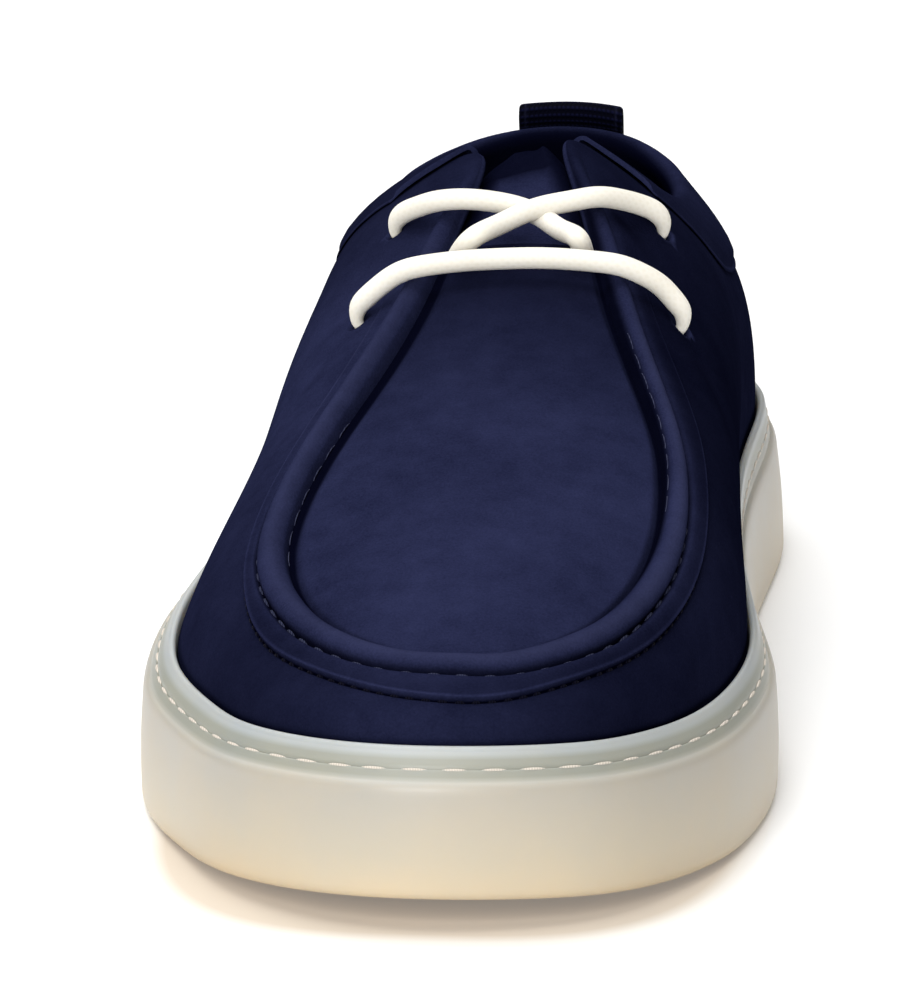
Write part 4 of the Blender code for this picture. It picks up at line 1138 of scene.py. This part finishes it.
# The collar band's section: rows down its outside and its inner layer, as shares of its depth, and the edge
# that joins them. Then the fold over the collar's edge and the side that faces the foot, as distance down
# from the edge and height above the upper's outside. BAND_ENDS rounds its two ends: how far in, and on.
BAND_COLUMNS = 301
BAND_ROWS = np.array([0.04, 0.10, 0.18, 0.28, 0.40, 0.52, 0.64, 0.76, 0.86, 0.93, 0.97, 0.995])
BAND_LOWEST = (1.004, 0.36)
BAND_FOLD = (
    (0.0, 1.38), (-0.55, 1.15), (-1.1, 0.75), (-1.5, 0.15), (-1.7, -0.55), (-1.68, -1.3), (-1.45, -2.1),
    (-1.05, -2.8), (-0.4, -3.3), (0.5, -3.5), (2.5, -3.5), (5.0, -3.45), (7.5, -3.4), (8.8, -3.35),
    (9.1, -2.9), (8.8, -2.45), (6.0, -2.4), (3.0, -2.4), (0.6, -2.4), (-0.3, -2.2), (-0.6, -1.6),
    (-0.65, -0.7), (-0.6, 0.1), (-0.2, 0.45),
)
BAND_ENDS = ((0.0525, 0.175), (0.126, 0.275))


def tongue_rows():
    """The tongue's upper surface, as rows across it from under the apron to its free top."""
    rows = []
    for station, sink, on, up, width in zip(*TONGUE.values()):
        turn = np.interp(station, TOP_EDGE["station"], section_turns())
        wall = Wall([1 - turn, turn])
        depth = wall.drop + APRON_WALL + GAP + sink
        sides = [wall.at(distance, -depth) for distance in TONGUE_UNDER_FACING]
        middle = apron_rows(*sides[-1], np.linspace(0, 1, 7)[1:-1, None])
        row = np.array([*(side[0] for side in sides), *middle, *(side[1] for side in reversed(sides))])
        row = mixed(row[len(row) // 2], row, np.array([width, 1.0, width]))
        rows.append(row + (0.0, -on, up))
    return np.array(rows)


def finer(rows, at):
    """Rows of points at places between the given rows, on smooth curves through them."""
    columns = rows.reshape(len(rows), -1).T
    curves = [spline(np.arange(len(rows)), column, at) for column in columns]
    return np.stack(curves, axis=1).reshape(len(at), *rows.shape[1:])


def make_tongue(material):
    """The tongue: thin and padded, dented between the facings and gathered at its free top."""
    coarse = tongue_rows()
    along = np.linspace(0, coarse.shape[0] - 1, TONGUE_ROWS)
    across = np.linspace(0, coarse.shape[1] - 1, TONGUE_COLUMNS)
    top = finer(finer(coarse.transpose(1, 0, 2), across).transpose(1, 0, 2), along)
    square = unit(np.cross(np.gradient(top, axis=1), np.gradient(top, axis=0)))
    square *= np.sign(square[..., 2:])
    side = np.linspace(-1, 1, TONGUE_COLUMNS)[None, :]
    run = (along / along[-1])[:, None]
    gather = smooth(run, 0.62, 0.95)
    folds = 0.2 * np.sin(side * 6.0 + run * 4.0) + 0.05 * np.sin(side * 13.0 - run * 6.0 + 1.0)
    pad = 0.35 * (1 - side**6) * (1 - smooth(run, 0.9, 1.0))
    relief = np.minimum(gather * folds * (1 - side**4) - 0.6 * gather + pad, 0.9)
    over = top + square * relief[..., None]

    # Painted shade: darker at the sides under the facings and over the free top, leaving a lit strip down the
    # middle that narrows upwards.
    off = np.abs(over[..., 0] - over[:, TONGUE_COLUMNS // 2, None, 0])
    lit = np.interp(run, (0.0, 0.40, 0.56, 0.66), (16.0, 9.0, 4.8, 2.6))
    tone = np.maximum(0.92 * smooth(off, lit - 1.5, lit + 2.5), 0.9 * smooth(run, 0.54, 0.66))
    rings = []
    for row, down in zip(over, -square * TONGUE_THICKNESS):
        left, right = unit(row[[0, -1]] - row[[1, -2]]) * 0.35
        rings.append(np.vstack([
            row,
            row[-1] + down[-1] * 0.25 + right,
            row[-1] + down[-1] * 0.75 + right,
            (row + down)[::-1],
            row[0] + down[0] * 0.75 + left,
            row[0] + down[0] * 0.25 + left,
        ]))
    # Painted shade over the tongue's edges and underside.
    dark = np.full((TONGUE_ROWS, len(rings[0]) - TONGUE_COLUMNS), 0.9)
    shape = Shape()
    shape.tube(rings, tones=np.hstack([tone, dark]))
    piece = shape.make("nubuck_tongue", [material], 70)
    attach(piece, "root")
    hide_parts("tongue")


def make_collar_band(material):
    """The padded band folded over the collar's edge, from one facing round the heel to the other."""
    wall = Wall(np.linspace(-COLLAR_END, COLLAR_END, BAND_COLUMNS))
    depths = by_station(BAND_DEPTH, "depth", wall.curves[0])
    arch, hem = np.sin(np.pi * BAND_ROWS), smooth(BAND_ROWS, 0.8, 1.0)
    inner = 0.55 + 0.1 * arch - 0.3 * hem
    outer = 1.35 + 0.2 * arch - 0.8 * hem - 0.2 * bell(BAND_ROWS, 0.93, 0.03)
    points = [wall.at(depths * share, height) for share, height in zip(BAND_ROWS, inner)]
    points.append(wall.at(depths * BAND_LOWEST[0], BAND_LOWEST[1]))
    tones = [0.0] * len(points)
    for share, height in zip(BAND_ROWS[::-1], outer[::-1]):
        ripple = 0.15 * np.sin(wall.turn * 260) * share * (1 - share)
        points.append(wall.at(depths * share, height + ripple))
        tones.append(-0.5 * bell(share, 0.97, 0.02))
    # Painted shade over the fold and down the side that faces the foot.
    for distance, height in BAND_FOLD:
        points.append(wall.at(distance, height))
        tones.append(0.85 * smooth(-height, -0.4, 2.6))
    shape = Shape()
    rings = np.array(points).transpose(1, 0, 2)
    # Painted shade that deepens towards the front of the collar.
    rows = [shape.row(ring, tones + np.interp(ring[:, 1], (15.0, 60.0), (0.15, 0.55))) for ring in rings]
    shape.strips(rows, closed=True)
    for last, ring, next_ring in ((rows[0], rings[0], rings[1]), (rows[-1], rings[-1], rings[-2])):
        for inwards, on in BAND_ENDS:
            end = ring + unit(ring.mean(axis=0) - ring) * inwards + unit(ring - next_ring) * on
            row = shape.row(end)
            shape.strip(last, row, closed=True)
            last = row
        shape.face(last)
    piece = shape.make("padded_collar_band", [material], 70)
    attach(piece, "root")
    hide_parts("collar_band")


def make_pull_loop(material):
    """A loop of webbing with straight edges, which stands behind the collar band at the back of the heel."""
    middle = resampled(np.stack([*LOOP_LINE.values()], axis=1), 0.5)
    lengths = path_lengths(middle)
    square = unit(np.gradient(middle, axis=0))[:, ::-1] * (-1, 1)
    wall = Wall(np.linspace(-0.06, 0.06, 121))
    reach = np.sin(np.linspace(-1, 1, 45) * np.pi / 2)
    places = reach * LOOP_HALF_WIDTH + LOOP_CENTRE
    rim = np.sqrt(np.clip(1 - ((np.abs(reach) - 0.94) / 0.06).clip(0) ** 2, 0.08, 1))[:, None]
    tone = -0.5 * bell(np.abs(reach), 0.87, 0.02)
    shape = Shape()

    def sheet(side):
        """Rows across one face of the loop, which thins towards its two edges."""
        rows = []
        for (distance, height), (off, up) in zip(middle, square * side * LOOP_THICKNESS / 2):
            sag = np.interp(distance, *LOOP_SAG.values())
            layers = []
            for share in (0.1, 0.9):
                line = wall.at(distance + off * share, height + up * share)
                station, above = (np.interp(places, line[:, 0], line[:, k]) for k in (1, 2))
                centre = np.interp(LOOP_CENTRE, line[:, 0], line[:, 2])
                layers.append(np.stack([places, station, mixed(centre, above, sag)], axis=1))
            rows.append(shape.row(mixed(*layers, rim), tone))
        return rows

    over, under = sheet(1.0), sheet(-1.0)
    for rows in (over, under):
        for one, other, low, high in zip(rows, rows[1:], lengths, lengths[1:]):
            shape.strip(one, other, weave=(places, low, high))
    for end in (0, -1):
        shape.strip(*(np.array([row[end] for row in rows]) for rows in (over, under)))
    for end in (0, -1):
        shape.strip(over[end], under[end])
    piece = shape.make("webbing_pull_loop", [material], 70)
    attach(piece, "root")
    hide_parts("heel_pull_loop")


# --- Laces ---


def hidden_run(eyelet, edge_turn):
    """A lace's way under the facing, from the facing's edge to the underside of an eyelet."""
    turn, distance = eyelet
    rise = [(share, along * distance, height) for share, along, height in LACE_RISE]
    return [
        Wall([mixed(edge_turn, turn, share)]).at(along, height)[0]
        for share, along, height in [*LACE_HIDDEN, *rise]
    ]


def make_laces(material):
    """One round cord: from the outer top eyelet over the tongue, under the inner facing, up through the
    lower inner eyelet, straight across, and back the same way to the inner top eyelet. Returns its length."""
    routes = (LACE_UNDER, LACE_OVER, LACE_BAR)
    under, over, bar = (np.stack([*route.values()], axis=1) for route in routes)
    first, last = (Wall([turn]).at(distance, LACE_END_HEIGHT) for turn, distance in (OUTER_TOP, INNER_TOP))
    centres = resampled(np.vstack([
        first,
        under[:-1],
        hidden_run(INNER_LOW, LACE_TURN_INNER),
        bar[::-1],
        hidden_run(OUTER_LOW, LACE_TURN_OUTER)[::-1],
        over[:-1][::-1],
        last,
    ]), 0.5)
    radius = np.full(len(centres), LACE_RADIUS)
    shift = np.zeros_like(centres)
    for turn, distance in EYELETS:
        wall = Wall([turn])
        middle = wall.at(distance, 0.0)[0]
        near = SQUEEZE * bell(np.linalg.norm(centres - middle, axis=1), 0.0, SQUEEZE_REACH)
        radius -= near
        shift += near[:, None] * (wall.at(distance + SQUEEZE_DOWN, SQUEEZE_IN)[0] - middle)
    shape = Shape()
    shape.tube(round_rings(centres + shift, radius, 40), girth=2 * math.pi * LACE_RADIUS)
    piece = shape.make("cord_laces", [material], 70)
    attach(piece, "root")
    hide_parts("laces")
    return path_lengths(centres)[-1]


# --- Stage ---

# The camera's place in millimetres, the way it looks, and its lens.
CAMERA_PLACE = (139.7, -1756.8, 479.3)
CAMERA_AIM = (-0.0860415, 0.9625404, -0.2571243)
LENS = 332.0

# Area lights: place in metres, width and height, and power. All point at the shoe's middle.
LIGHTS = {
    "key_light": ((-0.2, -2.0, 1.1), (1.0, 0.9), 28.0),
    "top_light": ((-0.25, -0.4, 1.9), (1.5, 1.5), 25.0),
    "back_light": ((-0.25, 0.8, 1.25), (1.6, 1.2), 14.0),
    "low_light": ((-0.3, -2.4, 0.35), (1.2, 0.5), 6.0),
}
SHOE_MIDDLE = Vector((0.0, -0.1, 0.04))
WORLD_STRENGTH = 0.12
FLOOR_HALF = 9.0


def look_along(item, direction):
    item.rotation_mode = "QUATERNION"
    item.rotation_quaternion = Vector(direction).to_track_quat("-Z", "Y")


def add_camera():
    """The camera where the photographer's was, turned to the middle of the shoe and with a longer lens."""
    camera = placed(bpy.data.objects.new("camera", bpy.data.cameras.new("camera")))
    camera.location = Vector(CAMERA_PLACE) * MM
    look_along(camera, CAMERA_AIM)
    camera.data.sensor_width = 36.0
    camera.data.lens = LENS
    camera.data.clip_start, camera.data.clip_end = 0.05, 30.0
    bpy.context.scene.camera = camera


def add_stage(material):
    """A white floor, a dim white world and four soft lights."""
    mesh = bpy.data.meshes.new("floor")
    around_floor = ((-1, -1), (1, -1), (1, 1), (-1, 1))
    mesh.from_pydata([(x * FLOOR_HALF, y * FLOOR_HALF, 0) for x, y in around_floor], [], [(0, 1, 2, 3)])
    mesh.materials.append(material)
    placed(bpy.data.objects.new("floor", mesh))
    world = bpy.data.worlds.new("studio")
    bpy.context.scene.world = world
    world.use_nodes = True
    back = world.node_tree.nodes["Background"]
    back.inputs["Color"].default_value = (1.0, 1.0, 1.0, 1)
    back.inputs["Strength"].default_value = WORLD_STRENGTH
    for name, (place, size, power) in LIGHTS.items():
        light = placed(bpy.data.objects.new(name, bpy.data.lights.new(name, "AREA")))
        light.location = place
        look_along(light, SHOE_MIDDLE - Vector(place))
        light.data.shape = "RECTANGLE"
        light.data.size, light.data.size_y = size
        light.data.energy = power
    bpy.context.scene.view_settings.view_transform = "Standard"
    bpy.context.scene.view_settings.look = "None"


def corners(box):
    return [list(box[0]), list(box[1])]


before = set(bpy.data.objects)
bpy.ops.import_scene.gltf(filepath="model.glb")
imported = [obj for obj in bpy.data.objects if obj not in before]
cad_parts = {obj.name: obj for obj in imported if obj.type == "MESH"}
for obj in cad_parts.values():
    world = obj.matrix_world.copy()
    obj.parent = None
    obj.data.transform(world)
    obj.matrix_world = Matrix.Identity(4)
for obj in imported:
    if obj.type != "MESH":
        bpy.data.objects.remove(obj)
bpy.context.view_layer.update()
add_camera()
add_stage(floor_material())
leather = nubuck_material()
make_outsole(rubber_material())
make_sole_stitches(thread_material("sole_thread_material", (0.56, 0.50, 0.43), (0.70, 0.64, 0.56)))
make_insole(lining_material("footbed_material", (0.012, 0.012, 0.020), (0.040, 0.040, 0.062)))
make_upper(leather, lining_material("lining_material", (0.008, 0.008, 0.016), (0.030, 0.030, 0.052)))
make_seam_stitches(
    thread_material("seam_thread_material", (0.016, 0.018, 0.042), (0.04, 0.045, 0.085)),
    # Near-black: painted shade of the stitch holes along the flange's edge.
    thread_material("flange_hole_shade_material", (0.001, 0.001, 0.003), (0.004, 0.004, 0.012)),
)
make_tongue(leather)
make_collar_band(leather)
make_pull_loop(webbing_material())
lace_length = make_laces(cord_material())
print("lace length in millimetres:", round(lace_length, 1))
